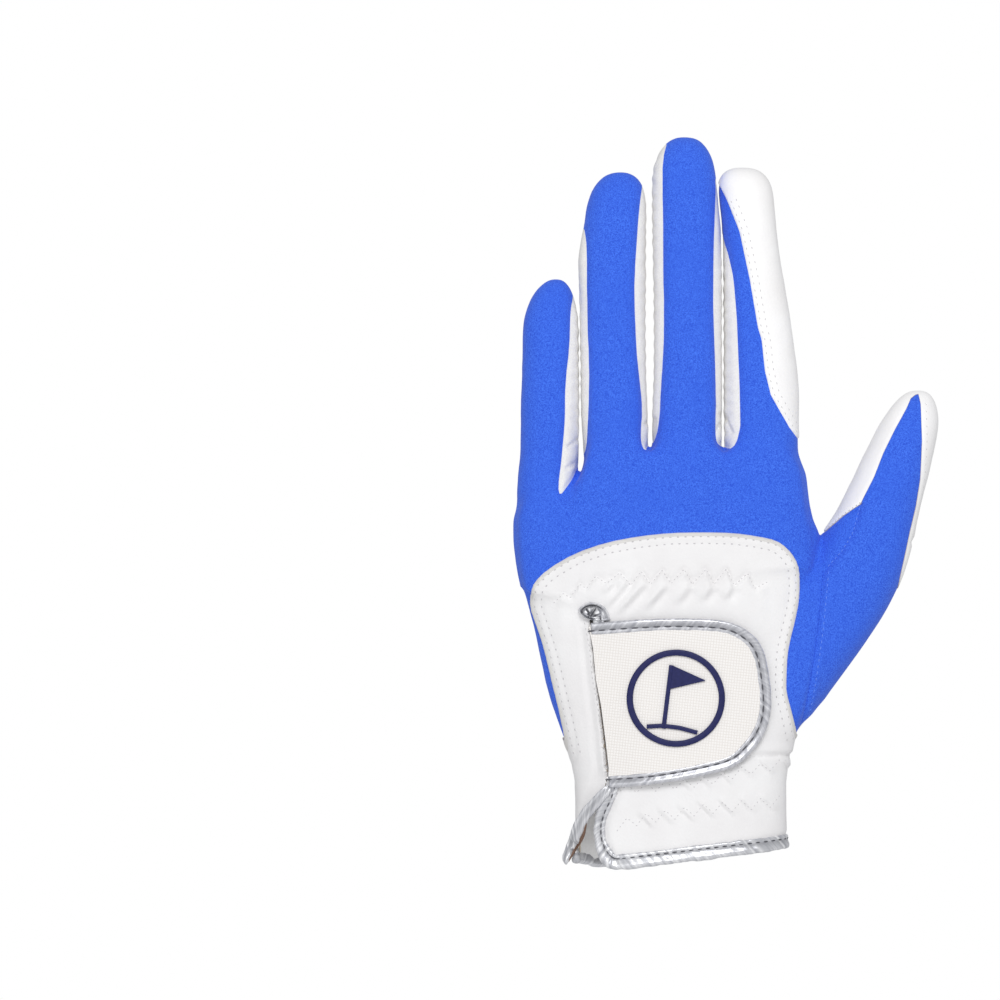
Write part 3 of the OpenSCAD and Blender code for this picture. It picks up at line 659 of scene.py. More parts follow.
class Surface:
    """A triangle mesh that can be cut along the zero line of a value at its points."""

    def __init__(self, points, normals):
        self.points = points
        self.normals = normals

    def flat(self):
        """The points as seen from the front: x and z."""
        return self.points[:, [0, 2]]

    def cut(self, triangles, value):
        """Splits the triangles where the value changes sign. Gives those above zero and those below."""
        v = np.where(np.abs(value) < 1e-6, 1e-6, value)
        sign = v[triangles] > 0
        above = triangles[sign.all(axis=1)]
        below = triangles[~sign.any(axis=1)]
        mixed = ~(sign.all(axis=1) | ~sign.any(axis=1))
        t, s = triangles[mixed], sign[mixed]
        if not len(t):
            return above, below
        lone_up = s.sum(axis=1) == 1
        lone = np.where(lone_up, s.argmax(axis=1), (~s).argmax(axis=1))
        rows = np.arange(len(t))
        a, b, c = (t[rows, (lone + k) % 3] for k in range(3))
        edges = np.sort(np.vstack([np.stack([a, b], 1), np.stack([a, c], 1)]), axis=1)
        unique, back = np.unique(edges, axis=0, return_inverse=True)
        back = back.ravel()
        i, j = unique[:, 0], unique[:, 1]
        share = (v[i] / (v[i] - v[j]))[:, None]
        start = len(self.points)
        self.points = np.vstack([self.points, self.points[i] * (1 - share) + self.points[j] * share])
        n = self.normals[i] * (1 - share) + self.normals[j] * share
        self.normals = np.vstack([self.normals, unit(n)])
        ab, ac = start + back[:len(t)], start + back[len(t):]
        tip = np.stack([a, ab, ac], axis=1)
        foot = np.vstack([np.stack([ab, b, c], axis=1), np.stack([ab, c, ac], axis=1)])
        up2 = np.concatenate([lone_up, lone_up])
        above = np.vstack([above, tip[lone_up], foot[~up2]])
        below = np.vstack([below, tip[~lone_up], foot[up2]])
        return above, below


# ---------------------------------------------------------------- seams, as lines of (x, z)

YOKE_FOLD = 1.15  # width of the folded edge outside the first row of stitches
HEM_Z = -2.6
HEM_SLOPE = 0.1226
SIDE_SHIFT = 1.2  # the side seam runs this far behind the middle of each limb
ROOT_THUMB = (52.5, 91.5)
THUMB_LEAN = math.radians(19.7)

YOKE_TOP = [
    (-47.8, 77.6), (-46.8, 80.4), (-42.9, 84.3), (-34.8, 89.1), (-25.2, 92.4), (-15.6, 94.2),
    (-6.3, 95.2), (3.3, 95.4), (12.6, 95.2), (19.8, 94.2), (25.5, 93), (28.8, 90.6), (31.2, 87.6),
    (32.4, 84.3), (32.7, 79.8), (32.4, 74.7), (31.2, 69), (29.7, 63.3), (28.8, 58.5), (28.5, 51.3),
    (28.5, 47.7), (30, 42.3), (32, 34),
]
YOKE_LEFT = [(-36.3, 29.1), (-41.4, 51.3), (-43.9, 61.2), (-46.3, 68), (-48, 73.2)]
YOKE = rounded([*YOKE_LEFT, *YOKE_TOP, (33, 31.6), (60, 31), (60, -30), (-60, -30), (-60, 26), (-39, 27)], 1)
INDEX_EDGE = [
    (8, 202), (11.4, 194), (14.7, 185.4), (17.7, 171), (20.1, 156.6), (21.2, 153), (22.2, 143.4), (24, 136.2),
    (27, 131.1), (29.7, 126.6), (32.4, 123.3),
]
INDEX_LEATHER = [*INDEX_EDGE, (36, 119), (44, 126), (44, 215), (8.2, 215), (7.9, 204)]
FORKS = {
    "middle_index": [
        (7.6, 202.5), (7.8, 195), (7.2, 171), (7.2, 165), (8.1, 136), (7.95, 127), (8.1, 123), (9, 121.6),
        (11.1, 120.4), (13.2, 121.8), (14.4, 126), (14.7, 128), (14.4, 142), (13.8, 152), (13.5, 161.4),
        (12.6, 171), (11.2, 178), (10.2, 182.5), (9.85, 186), (9.1, 193.5), (8.4, 200.5),
    ],
    "ring_middle": [
        (-14.6, 196), (-15.3, 188.4), (-16.5, 171), (-16.5, 165), (-15.9, 150.6), (-14.7, 141),
        (-13.8, 131.4), (-14.55, 125.7), (-14.4, 122), (-13.5, 120), (-12, 121.3), (-10.5, 124.5),
        (-9.75, 129), (-9.3, 138.6), (-8.4, 150.6), (-8.1, 160), (-8.4, 180), (-8.6, 198), (-8.3, 207),
        (-6.4, 213.5), (-13, 213),
    ],
    "little_ring": [
        (-34.9, 166), (-35.4, 162.6), (-36, 150.6), (-37.2, 141), (-37.5, 126.6), (-38.4, 117.3),
        (-39.6, 109), (-39, 106.4), (-36.8, 109), (-34, 112.5), (-31.9, 119.4), (-30.9, 131.4),
        (-30.6, 145.8), (-31.5, 165), (-31.4, 180), (-32, 188), (-33.5, 186), (-35, 172),
    ],
}
THUMB_INNER_EDGE = [
    (68.1, 136.7), (66.4, 135.4), (65, 132.4), (61.5, 126.2), (57.9, 119), (55, 111.8), (50.9, 103.8),
    (45.6, 100), (40, 95),
]
THUMB_INNER = [*THUMB_INNER_EDGE, (39.3, 94.6), (39.1, 140), (60, 150), (90, 150), (90, 136.9)]
THUMB_OUTER_EDGE = [
    (68.7, 136.9), (69.2, 133.8), (69.3, 122.4), (68.7, 111.3), (67.5, 102.9), (65.4, 93.3), (63, 82.2),
    (62.3, 78),
]
THUMB_OUTER = [*THUMB_OUTER_EDGE, (66, 75), (90, 75), (90, 150), (69, 150)]
THUMB_SEAM = [
    (50.9, 103.8), (50.2, 101), (48.6, 95.4), (45.6, 90.2), (41.4, 85.4), (39.7, 83.4), (39.1, 77),
    (38.4, 70), (37.6, 63), (36, 52), (34.4, 42), (33, 36), (31, 30),
]
THUMB_SIDE = [*THUMB_SEAM, (30, 20), (95, 20), (95, 130)]
GUSSET = [
    (40, 95), (45.6, 100), (50.9, 103.8), (50.2, 101), (48.6, 95.4), (45.6, 90.2), (41.4, 85.4),
    (40.6, 87), (39.8, 91),
]
THENAR = [
    (38, 95), (33, 88), (26, 78), (20, 66), (17, 54), (17, 42), (19.5, 30), (25, 18), (40, 10), (95, 10),
    (95, 92.4), (52.5, 92.4),
]
SLIT_LEFT = [
    (-30.3, 69.6), (-28.1, 51), (-26.2, 36), (-24.9, 24), (-26, 17.5), (-29.5, 12.5), (-31.3, 10), (-34.4, 3),
    (-36.4, -2), (-37, -9),
]
SLIT_RIGHT = [
    (-29.3, 69.6), (-27.1, 51), (-25.2, 36), (-24.2, 24), (-25.4, 18), (-28.2, 12), (-29.1, 7), (-28.5, 1.8),
    (-26.4, -2.8), (-22, -9),
]
SLIT = [*SLIT_LEFT, *reversed(SLIT_RIGHT)]
ZIGZAG = [
    (-40.8, 74.4), (-38.1, 77), (-36, 75.9), (-33.3, 79.8), (-31.2, 78.6), (-28.5, 82.2), (-25.2, 80.1),
    (-21.3, 83.3), (-18, 79.5), (-15, 83.7), (-12.1, 79.8), (-8.7, 84), (-6, 80.1), (-2.1, 84.4),
    (0.3, 79.8), (4.4, 84.3), (6.8, 79.8), (10.4, 84.3), (12.9, 79.5), (16.8, 83.1), (18.9, 78.6),
    (22.5, 80.4),
]
CUFF_ROW_A = [(-22, 18.6), (-8, 19.8), (4.8, 21.2), (16.5, 24.4), (27, 26)]
CUFF_ROW_B = [(-22, 8), (-14.7, 9.9), (-4, 11.6), (4.4, 13), (14, 13.8), (27, 15)]
TAB_EDGE = [
    (-29.9, 68.4), (-18, 69.3), (-6.3, 69.9), (7.2, 69.6), (12.9, 68.4), (17.7, 65.6), (21, 61.8),
    (22.8, 55.8), (24, 46.2), (23.6, 40), (21.3, 34.2), (17.6, 29.4), (12.9, 25.2), (3.3, 22.8),
    (-6.3, 21), (-15.7, 19.8), (-24.3, 19.2),
]
TAB_SEWN = [
    (-30.2, 68.1), (-28.8, 60.9), (-27.9, 51.3), (-26.4, 43.8), (-24.9, 32.4), (-24, 24.6), (-24.2, 19.6),
]
GAP_X = {"little_ring": -33.05, "ring_middle": -12.0, "middle_index": 9.9}
GAP_LEAN = 0.1  # how far the gap beside the middle finger leans over above its bend
GAP_BEND_Z = 185.5
LITTLE_TIP_LEAN = 0.13  # how far the gap beside the ring finger leans over the little finger's tip
LITTLE_TIP_Z = 158
THUMB_SIDE_X = 39.3
FINGER_SIDE_X = 37.0  # the index finger ends before this, and only the thumb is beyond it
STALL_ROOT_Z = 120.6  # where the ring, middle and index stalls start
LITTLE_ROOT_Z = 107.4
FINGERS_FROM_Z = 95.0  # the side seams follow each finger's own depth above this height
THUMB_FROM_Z = 93.0  # and the thumb's own depth beside them, above this one


def zigzag_row(line, pitch, height):
    """A zigzag about a line of (x, z) points."""
    line = np.array(line, float)
    x = np.arange(line[0, 0], line[-1, 0], pitch / 2)
    z = np.interp(x, line[:, 0], line[:, 1]) + height * (np.arange(len(x)) % 2 - 0.5)
    return np.stack([x, z], axis=1)


ZIGZAG_A = zigzag_row(CUFF_ROW_A, 5.7, 2.6)
ZIGZAG_B = zigzag_row(CUFF_ROW_B, 5.7, 3.0)


def thumb_height(p):
    """Height above the plane where the thumb stall starts."""
    x, z = p[:, 0] - ROOT_THUMB[0], p[:, 2] - ROOT_THUMB[1]
    return x * math.sin(THUMB_LEAN) + z * math.cos(THUMB_LEAN)


def little_gap(z):
    """Where the gap between the little and ring fingers is, which leans over the little finger's tip."""
    return GAP_X["little_ring"] - LITTLE_TIP_LEAN * np.maximum(z - LITTLE_TIP_Z, 0)


def index_gap(z):
    """Where the gap between the middle and index stalls is, at each height."""
    return GAP_X["middle_index"] - GAP_LEAN * np.maximum(z - GAP_BEND_Z, 0)


def middle_y(p):
    """Middle depth of whichever limb a point belongs to."""
    x, z = p[:, 0], p[:, 2]
    y = np.zeros(len(p))
    last_gap = index_gap(z)
    spans = {"little": (-99, little_gap(z)), "ring": (little_gap(z), GAP_X["ring_middle"]),
             "middle": (GAP_X["ring_middle"], last_gap), "index": (last_gap, FINGER_SIDE_X)}
    for name, (low, high) in spans.items():
        here = (x >= low) & (x < high) & (z > FINGERS_FROM_Z)
        y[here] = LIMB_AT[name](z[here])[:, 3]
    thumb = LIMB_AT["thumb"](z)[:, 3]
    share = np.where(z > THUMB_FROM_Z, (x > THUMB_SIDE_X - 1).astype(float), smooth_step(x, 33, 44))
    return y * (1 - share) + thumb * share


points, quads = surface_net(
    [steps(-56.3, 80.1, CELL, GAP_X.values()), steps(-16.5, 20.5, CELL), steps(-11.6, 218.2, CELL)])
points, normals = settle(points)
diagonal = np.linalg.norm(points[quads[:, 0]] - points[quads[:, 2]], axis=1)
other = np.linalg.norm(points[quads[:, 1]] - points[quads[:, 3]], axis=1)
straight = diagonal <= other
triangles = np.vstack([
    quads[straight][:, [0, 1, 2]], quads[straight][:, [0, 2, 3]],
    quads[~straight][:, [0, 1, 3]], quads[~straight][:, [1, 2, 3]],
])
SURFACE = Surface(points, normals)


def hem_level(x):
    """Height of the hem at each x: it slopes up to the thumb side, and curls up a little at the other."""
    return HEM_Z + HEM_SLOPE * np.maximum(x, -24) + 1.8 * smooth_step(-x, 27, 35)


def palm_side(p):
    """Positive behind the seam between the back of the glove and its palm."""
    flat = p[:, [0, 2]]
    shift = np.full(len(p), SIDE_SHIFT)
    for outline in FORKS.values():
        shift = np.maximum(shift, SIDE_SHIFT + 3.2 * smooth_step(inside(flat, outline), -0.6, 1.4))
    shift += 2.6 * smooth_step(-p[:, 2], -44, -26)
    return p[:, 1] - middle_y(p) - shift


def split(triangles, outline):
    """The triangles inside an outline seen from the front, and those outside it."""
    return SURFACE.cut(triangles, inside(SURFACE.flat(), outline))


triangles, _ = SURFACE.cut(triangles, SURFACE.points[:, 2] - hem_level(SURFACE.points[:, 0]) - 0.9)
palmar, dorsal = SURFACE.cut(triangles, palm_side(SURFACE.points))
PANELS = {}
for fork, outline in FORKS.items():
    PANELS[fork], dorsal = split(dorsal, rounded(outline, 1))
leather, dorsal = split(dorsal, INDEX_LEATHER)
PANELS["index_leather"] = leather
inner, dorsal = split(dorsal, THUMB_INNER)
outer, dorsal = split(dorsal, THUMB_OUTER)
palmar = np.vstack([palmar, inner, outer])
yoke, dorsal = split(dorsal, YOKE)
_, PANELS["yoke"] = split(yoke, SLIT)
PANELS["gusset"], dorsal = split(dorsal, GUSSET)
PANELS["thumb_blue"], PANELS["blue"] = split(dorsal, THUMB_SIDE)
thumb_leather, rest = SURFACE.cut(
    palmar, np.minimum(thumb_height(SURFACE.points), SURFACE.points[:, 0] - THUMB_SIDE_X))
thenar, palm = split(rest, THENAR)
PANELS["thumb_leather"] = np.vstack([thumb_leather, thenar])
PANELS["palm"] = palm


def body_index(p):
    """0 for the hand, then 1 to 5 for the little, ring, middle, index and thumb stalls."""
    x, z = p[:, 0], p[:, 2]
    index = np.zeros(len(p), int)
    index[(z > LITTLE_ROOT_Z) & (x < little_gap(z))] = 1
    sides = (little_gap(z), GAP_X["ring_middle"], index_gap(z), THUMB_SIDE_X)
    for number, (low, high) in enumerate(zip(sides[:-1], sides[1:]), 2):
        index[(z > STALL_ROOT_Z) & (x >= low) & (x < high)] = number
    index[(thumb_height(p) > 0) & (x >= THUMB_SIDE_X)] = 5
    return index


BODIES = ["hand", "little_stall", "ring_stall", "middle_stall", "index_stall", "thumb_stall"]


def cut_everywhere(value, reach, where):
    """Cuts every panel along the zero line of a value, so that triangle edges run along it.

    Only triangles within reach of the line are cut, and only where the condition on their centres holds."""
    for name, tris in PANELS.items():
        centre = SURFACE.points[tris].mean(axis=1)
        close = (np.abs(value(centre)) < reach) & where(centre)
        above, below = SURFACE.cut(tris[close], value(SURFACE.points))
        PANELS[name] = np.vstack([tris[~close], above, below])


cut_everywhere(lambda p: p[:, 2] - STALL_ROOT_Z, 3, lambda c: c[:, 0] < THUMB_SIDE_X)
cut_everywhere(lambda p: p[:, 2] - LITTLE_ROOT_Z, 3, lambda c: c[:, 0] < -30)
for gap, low in (("little_ring", 100), ("ring_middle", 115), ("middle_index", 115)):
    cut_everywhere(
        lambda p, x=GAP_X[gap]: p[:, 0] - x, 3, lambda c, low=low: (c[:, 2] > low) & (c[:, 2] < 126))
cut_everywhere(thumb_height, 3, lambda c: c[:, 0] > THUMB_SIDE_X - 3)

# ---------------------------------------------------------------- patches sewn inside and under the tab


def band(line, half):
    """Outline of a band this far each side of a line of (x, z) points."""
    line = np.array(line, float)
    return np.vstack([line + (0, half), line[::-1] - (0, half)])


def node_box(name):
    """Lowest and highest corners of a CAD node, in millimetres."""
    lowest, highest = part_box(name)
    return [v / MM for v in lowest], [v / MM for v in highest]


CORNER_CUT = 2.5  # corners of the hook and loop patches and of the label


def box_outline(name):
    """Outline of a CAD node's box from the front, with its corners cut."""
    (x0, _, z0), (x1, _, z1) = node_box(name)
    c = CORNER_CUT
    corners = [(x0 + c, z0), (x1 - c, z0), (x1, z0 + c), (x1, z1 - c),
               (x1 - c, z1), (x0 + c, z1), (x0, z1 - c), (x0, z0 + c)]
    return rounded(corners, 1)


def take(panel, outline):
    """A copy of the part of a panel inside an outline. The panel itself is left whole."""
    return split(PANELS[panel], outline)[0]


cut_everywhere(lambda p: inside(p[:, [0, 2]], YOKE) - YOKE_FOLD, 2, lambda c: (c[:, 1] < 0) & (c[:, 2] > 30))
loop_outline = box_outline("loop_patch")
slit_limit = np.interp(loop_outline[:, 1], [24, 70], [-19.6, -24.8])  # the patch stops short of the slit
loop_outline[:, 0] = np.maximum(loop_outline[:, 0], slit_limit)
KNUCKLE_ROW = [(-42, 75.6), (-31, 79.4), (-18, 81.6), (0, 82), (12, 81.5), (24, 80)]
PATCHES = {
    "knuckle_elastic": take("yoke", band(KNUCKLE_ROW, 2.6)),
    "wrist_elastic_upper": take("yoke", band(CUFF_ROW_A, 2.4)),
    "wrist_elastic_lower": take("yoke", band(CUFF_ROW_B, 2.4)),
    "loop_patch": take("yoke", loop_outline),
    "size_label": take("palm", box_outline("size_label")),
}

# ---------------------------------------------------------------- relief of each panel

P = SURFACE.points
FLAT = SURFACE.flat()
X, Z = P[:, 0], P[:, 2]
FRONT = smooth_step(-P[:, 1], -3, 3)
OUTLINES = {
    "index_leather": INDEX_LEATHER, "thumb_inner": THUMB_INNER, "thumb_outer": THUMB_OUTER, "yoke": YOKE,
    "thenar": THENAR, **{name: rounded(outline, 1) for name, outline in FORKS.items()},
}
EDGE = {name: inside(FLAT, outline) for name, outline in OUTLINES.items()}
EDGE["slit_left"] = line_distance(FLAT, SLIT_LEFT)
EDGE["thumb_seam"] = line_distance(FLAT, THUMB_SEAM)
SIDE = palm_side(P)


def groove(distance, width, depth):
    """A rounded groove where the distance is zero."""
    return -depth * np.exp(-((distance / width) ** 2))


def soft_edge(distance, radius):
    """How far a folded edge rolls down towards its seam."""
    t = np.clip(1 - distance / radius, 0, 1)
    return -radius * (1 - np.sqrt(np.clip(1 - t * t, 0, 1)))


def lobes(line, above, below):
    """Cloth gathered by a zigzag seam: pointed lobes that rise between the legs and fade downwards."""
    line = np.array(line, float)
    leg = np.interp(X, line[:, 0], line[:, 1])
    from_leg = leg - Z
    high = np.maximum.reduce([np.roll(line[:, 1], k) for k in (-1, 0, 1)])
    top = np.interp(X, line[:, 0], high)
    first, last = line[0, 0], line[-1, 0]
    span = smooth_step(X, first - 1, first + 2) * smooth_step(-X, -last - 1, -last + 2)
    seam = groove(line_distance(FLAT, line), 0.6, 0.5)
    under = np.exp(-np.clip(top - Z, 0, None) / below) * smooth_step(from_leg, -0.2, 0.9)
    over = -0.35 * np.exp(-np.clip(-from_leg, 0, None) / above) * smooth_step(-from_leg, 0.0, 0.8)
    return (seam + 0.9 * under + over) * span


def folds(starts, reach, width, height):
    """Soft ridges along (x0, z0, x1, z1) lines, strongest in the middle."""
    total = np.zeros(len(P))
    for x0, z0, x1, z1 in starts:
        a, b = np.array([x0, z0]), np.array([x1, z1])
        ab = b - a
        t = np.clip(((FLAT - a) @ ab) / (ab @ ab), 0, 1)
        d = FLAT - (a + t[:, None] * ab)
        side = d[:, 0] * ab[1] - d[:, 1] * ab[0]
        distance = np.sqrt((d * d).sum(1)) * np.sign(side)
        ends = smooth_step(t, 0, 0.25) * smooth_step(-t, -1, -1 + reach)
        total += ends * (np.exp(-(((distance - width * 0.6) / width) ** 2))
                         - 0.8 * np.exp(-(((distance + width * 0.6) / width) ** 2)))
    return total * height


def creases(starts, reach, height):
    """Creases along (x0, z0, x1, z1) lines: the cloth steps up at the line and falls away from it."""
    total = np.zeros(len(P))
    for x0, z0, x1, z1 in starts:
        a, ab = np.array([x0, z0]), np.array([x1 - x0, z1 - z0])
        length = np.linalg.norm(ab)
        along = (FLAT - a) @ ab / length
        side = ((FLAT - a) @ np.array([-ab[1], ab[0]])) / length
        ends = smooth_step(along, -0.5, 0.3 * length) * smooth_step(-along, -1.15 * length, -0.75 * length)
        raised = np.exp(-np.clip(side, 0, None) / reach) * smooth_step(side, -0.45, 0.35)
        sunk = -0.35 * np.exp(-np.clip(-side, 0, None) / (0.6 * reach)) * smooth_step(-side, -0.3, 0.3)
        total += ends * (raised + sunk)
    return total * height


SIDE_SEAM = groove(SIDE, 0.9, 0.45)
common = 0.20 * noise(P, 16, 1) + 0.09 * noise(P, 6, 2) + 0.03 * noise(P, 2.4, 3)
fork_seams = sum(groove(EDGE[name], 1.0, 0.55) for name in FORKS) * FRONT
near_thumb_seam = groove(EDGE["thumb_seam"], 0.7, 0.5) * FRONT
CROTCH_FOLDS = [
    [(-13, 127.9), (-11.1, 129.4), (-11.6, 122.7)], [(8.3, 132.4), (10.6, 129), (12.1, 125.3)],
    [(9.5, 127.9), (8, 124.4)], [(-36.4, 121), (-33.6, 123)], [(-37, 114.5), (-34.4, 116)],
]
crotch_folds = sum(groove(line_distance(FLAT, line), 0.55, 0.6) for line in CROTCH_FOLDS) * FRONT
RISE = {}
RISE["blue"] = common + SIDE_SEAM + fork_seams + near_thumb_seam
seam_ridge = -groove(EDGE["thumb_seam"] - 2, 1.1, 0.25)
RISE["thumb_blue"] = common + SIDE_SEAM + near_thumb_seam + seam_ridge
RISE["gusset"] = 0.6 * common - 0.1 + near_thumb_seam
for name in FORKS:
    ripple = 0.13 * np.sin(Z * 1.5 + 2.2 * noise(P, 6, 5)) * smooth_step(EDGE[name], 0.8, 2.6)
    RISE[name] = 0.6 * common + SIDE_SEAM + fork_seams + ripple + crotch_folds - 0.06
RISE["index_leather"] = common + 0.45 + soft_edge(EDGE["index_leather"], 0.5) + SIDE_SEAM


def row_creases(row, first_x, left, above, right, below):
    """Slanting lines for the creases across one row of the cuff's elastic."""
    x = np.arange(first_x, 27, 6.0)
    z = np.interp(x, *np.transpose(row))
    return np.stack([x - left, z + above, x + right, z - below], axis=1)


PULL_LINES = [
    (-17, 82, -26.5, 71), (-12.5, 80.5, -23, 69.8), (-6.5, 80, -14, 71.5), (0.5, 79.5, -5, 73),
    (-22.5, 81, -25.5, 76), (7, 79.5, 3, 74), (13, 79.5, 10, 74.5),
]
pull = folds(PULL_LINES, 0.5, 1.4, 1.1)
cuff_lines = np.vstack([row_creases(CUFF_ROW_A, -3.5, 1.2, 3.2, 3.2, 1.8),
                        row_creases(CUFF_ROW_B, -15, 1.4, 2.6, 3.6, 2.4)])
cuff_pull = creases(cuff_lines, 1.6, 0.8)
waist = (groove(Z - 28.6, 0.9, 0.9) - groove(Z - 30.6, 1.6, 0.4)) * smooth_step(X, 15, 21)
flap = -groove(EDGE["slit_left"], 2.4, 1.75) * smooth_step(Z, 21, 26) * smooth_step(-Z, -70, -66)
flap = flap * (inside(FLAT, [*SLIT_LEFT, (-60, -8), (-60, 69.6)]) > 0)
knot_hollow = -0.8 * np.exp(-(((X + 30) / 4.5) ** 2 + ((Z - 71) / 3.6) ** 2))
hem_height = Z - hem_level(X)
tape_near = np.minimum(hem_height, np.where(Z < 72, line_distance(FLAT, SLIT_RIGHT), 99))
clear = smooth_step(tape_near, 3.0, 5.4)
zigzags = 1.2 * lobes(ZIGZAG, 2.4, 5.0)
yoke_rows = groove(EDGE["yoke"] - YOKE_FOLD, 0.35, 0.22) + groove(EDGE["yoke"] - 3.3, 0.6, 0.16)
gathers = zigzags + pull + cuff_pull + waist + flap + knot_hollow
RISE["yoke"] = common + 0.75 + (soft_edge(EDGE["yoke"], 0.8) + yoke_rows + gathers) * FRONT
RISE["yoke"] = RISE["yoke"] * clear + (1 - clear) * np.where(FRONT > 0.5, flap, 0.0)
thumb_edges = np.minimum(np.abs(EDGE["thumb_inner"]), np.abs(EDGE["thumb_outer"]))
thenar_seam = groove(EDGE["thenar"], 0.9, 0.5)
RISE["thumb_leather"] = (common + 0.2 + 0.25 * smooth_step(thumb_edges, 0, 0.8) * FRONT
                         + (SIDE_SEAM + thenar_seam) * (1 - FRONT))
palm_creases = folds([(-20, 100, 20, 106), (-48, 92, 10, 80), (-4, 96, 14, 50)], 0.5, 2.2, 0.35)
bends = sum(groove(Z - z - 1.2 * np.sin(X * 0.3), 1.1, 0.3) for z in (143, 146, 168, 171))
RISE["palm"] = common + SIDE_SEAM + (thenar_seam + palm_creases + bends) * (1 - FRONT)
RISE["palm"] = RISE["palm"] * smooth_step(hem_height, 3.4, 6)

SKIN = 0.8  # the inside of the cloth is this far under the plain form
INSIDE_BANDS = (-0.85, -1.55)  # the elastic tapes and the label lie between these, under the cloth
MIN_TRIANGLES = 30  # smaller scraps of a panel are left out
LOOKS = {
    "blue": "knit", "thumb_blue": "knit", "gusset": "knit", "index_leather": "leather", "yoke": "yoke",
    "thumb_leather": "leather", "palm": "leather",
    "middle_index": "fork", "ring_middle": "fork", "little_ring": "fork",
}
SLOTS = {"knit": "blue_knit", "leather": "white_leather", "yoke": "yoke_fabric", "fork": "white_knit"}

# ---------------------------------------------------------------- mesh making


def link(name, mesh, *materials):
    """Puts a mesh in the scene as a piece with these materials."""
    for material in materials:
        mesh.materials.append(MATERIALS[material])
    piece = bpy.data.objects.new(name, mesh)
    bpy.context.collection.objects.link(piece)
    return piece


def ring_quads(rings, around, closed=False):
    """Quads between rings of as many points each; closed joins the last ring to the first."""
    i, j = np.meshgrid(np.arange(rings if closed else rings - 1), np.arange(around), indexing="ij")
    k, after = (j + 1) % around, (i + 1) % rings
    quads = np.stack([i * around + j, i * around + k, after * around + k, after * around + j], axis=-1)
    return quads.reshape(-1, 4)


def build_mesh(name, points, faces, shades=None, corner_normals=None):
    """A smooth mesh. faces is a list of arrays of faces; shades gives material indices for each array."""
    mesh = bpy.data.meshes.new(name)
    sizes = np.concatenate([np.full(len(f), f.shape[1]) for f in faces])
    corners = np.concatenate([f.ravel() for f in faces])
    mesh.vertices.add(len(points))
    mesh.vertices.foreach_set("co", (np.asarray(points) * MM).astype(np.float32).ravel())
    mesh.loops.add(len(corners))
    mesh.loops.foreach_set("vertex_index", corners.astype(np.int32))
    mesh.polygons.add(len(sizes))
    starts = np.concatenate([[0], np.cumsum(sizes)[:-1]])
    mesh.polygons.foreach_set("loop_start", starts.astype(np.int32))
    if shades is not None:
        index = np.concatenate([np.full(len(f), s) for f, s in zip(faces, shades)])
        mesh.polygons.foreach_set("material_index", index.astype(np.int32))
    mesh.update(calc_edges=True)
    mesh.shade_smooth()
    if corner_normals is not None:
        mesh.normals_split_custom_set(corner_normals.astype(np.float32))
    return mesh


def face_normals(points, faces):
    """Normals of faces, as long as twice the area of each one's first three corners."""
    a, b, c = (points[faces[:, k]] for k in range(3))
    return np.cross(b - a, c - a)


def vertex_normals(points, triangles):
    """Smooth normals at the points of a triangle mesh."""
    face = face_normals(points, triangles)
    total = np.zeros_like(points)
    for k in range(3):
        for axis in range(3):
            total[:, axis] += np.bincount(triangles[:, k], face[:, axis], len(points))
    return unit(total)


def shell(name, triangles, outer, inner, normals, *materials, folded=None):
    """Closed panel of cloth: outside, inside and the rim between them, each with its own material.

    folded marks the outside triangles that take a fourth material."""
    used, index = np.unique(triangles, return_inverse=True)
    t = index.reshape(-1, 3)
    n = len(used)
    directed = np.vstack([t[:, [0, 1]], t[:, [1, 2]], t[:, [2, 0]]])
    key = directed.min(axis=1) * n + directed.max(axis=1)
    _, first, count = np.unique(key, return_index=True, return_counts=True)
    rim = directed[first[count == 1]]
    walls = np.stack([rim[:, 1], rim[:, 0], rim[:, 0] + n, rim[:, 1] + n], axis=1)
    points = np.vstack([outer[used], inner[used]])
    v = normals[used]
    w = unit(face_normals(points, walls))
    corner_normals = np.vstack([v[t.ravel()], -v[t[:, ::-1].ravel()], np.repeat(w, 4, axis=0)])
    outside = 0 if folded is None else np.where(folded, 3, 0)
    mesh = build_mesh(name, points, [t, t[:, ::-1] + n, walls], (outside, 1, 2), corner_normals)
    return link(name, mesh, *materials)


UPRIGHT = (0, 0, 1)
STALL_AXIS = {  # where each stall starts, and which way it points
    "little_stall": ((-42.4, 0, LITTLE_ROOT_Z), UPRIGHT), "ring_stall": ((-22.5, 0, STALL_ROOT_Z), UPRIGHT),
    "middle_stall": ((-1.1, 0, STALL_ROOT_Z), UPRIGHT), "index_stall": ((21.2, 0, STALL_ROOT_Z), UPRIGHT),
    "thumb_stall": ((ROOT_THUMB[0], 3, ROOT_THUMB[1]), (math.sin(THUMB_LEAN), 0, math.cos(THUMB_LEAN))),
}


def attach(piece, body, slot=None):
    """A piece on a stall has its placement baked into its mesh; other pieces are parented to their body's
    empty.
    """
    if body in STALL_AXIS:
        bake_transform(piece)
    else:
        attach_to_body(piece, body)


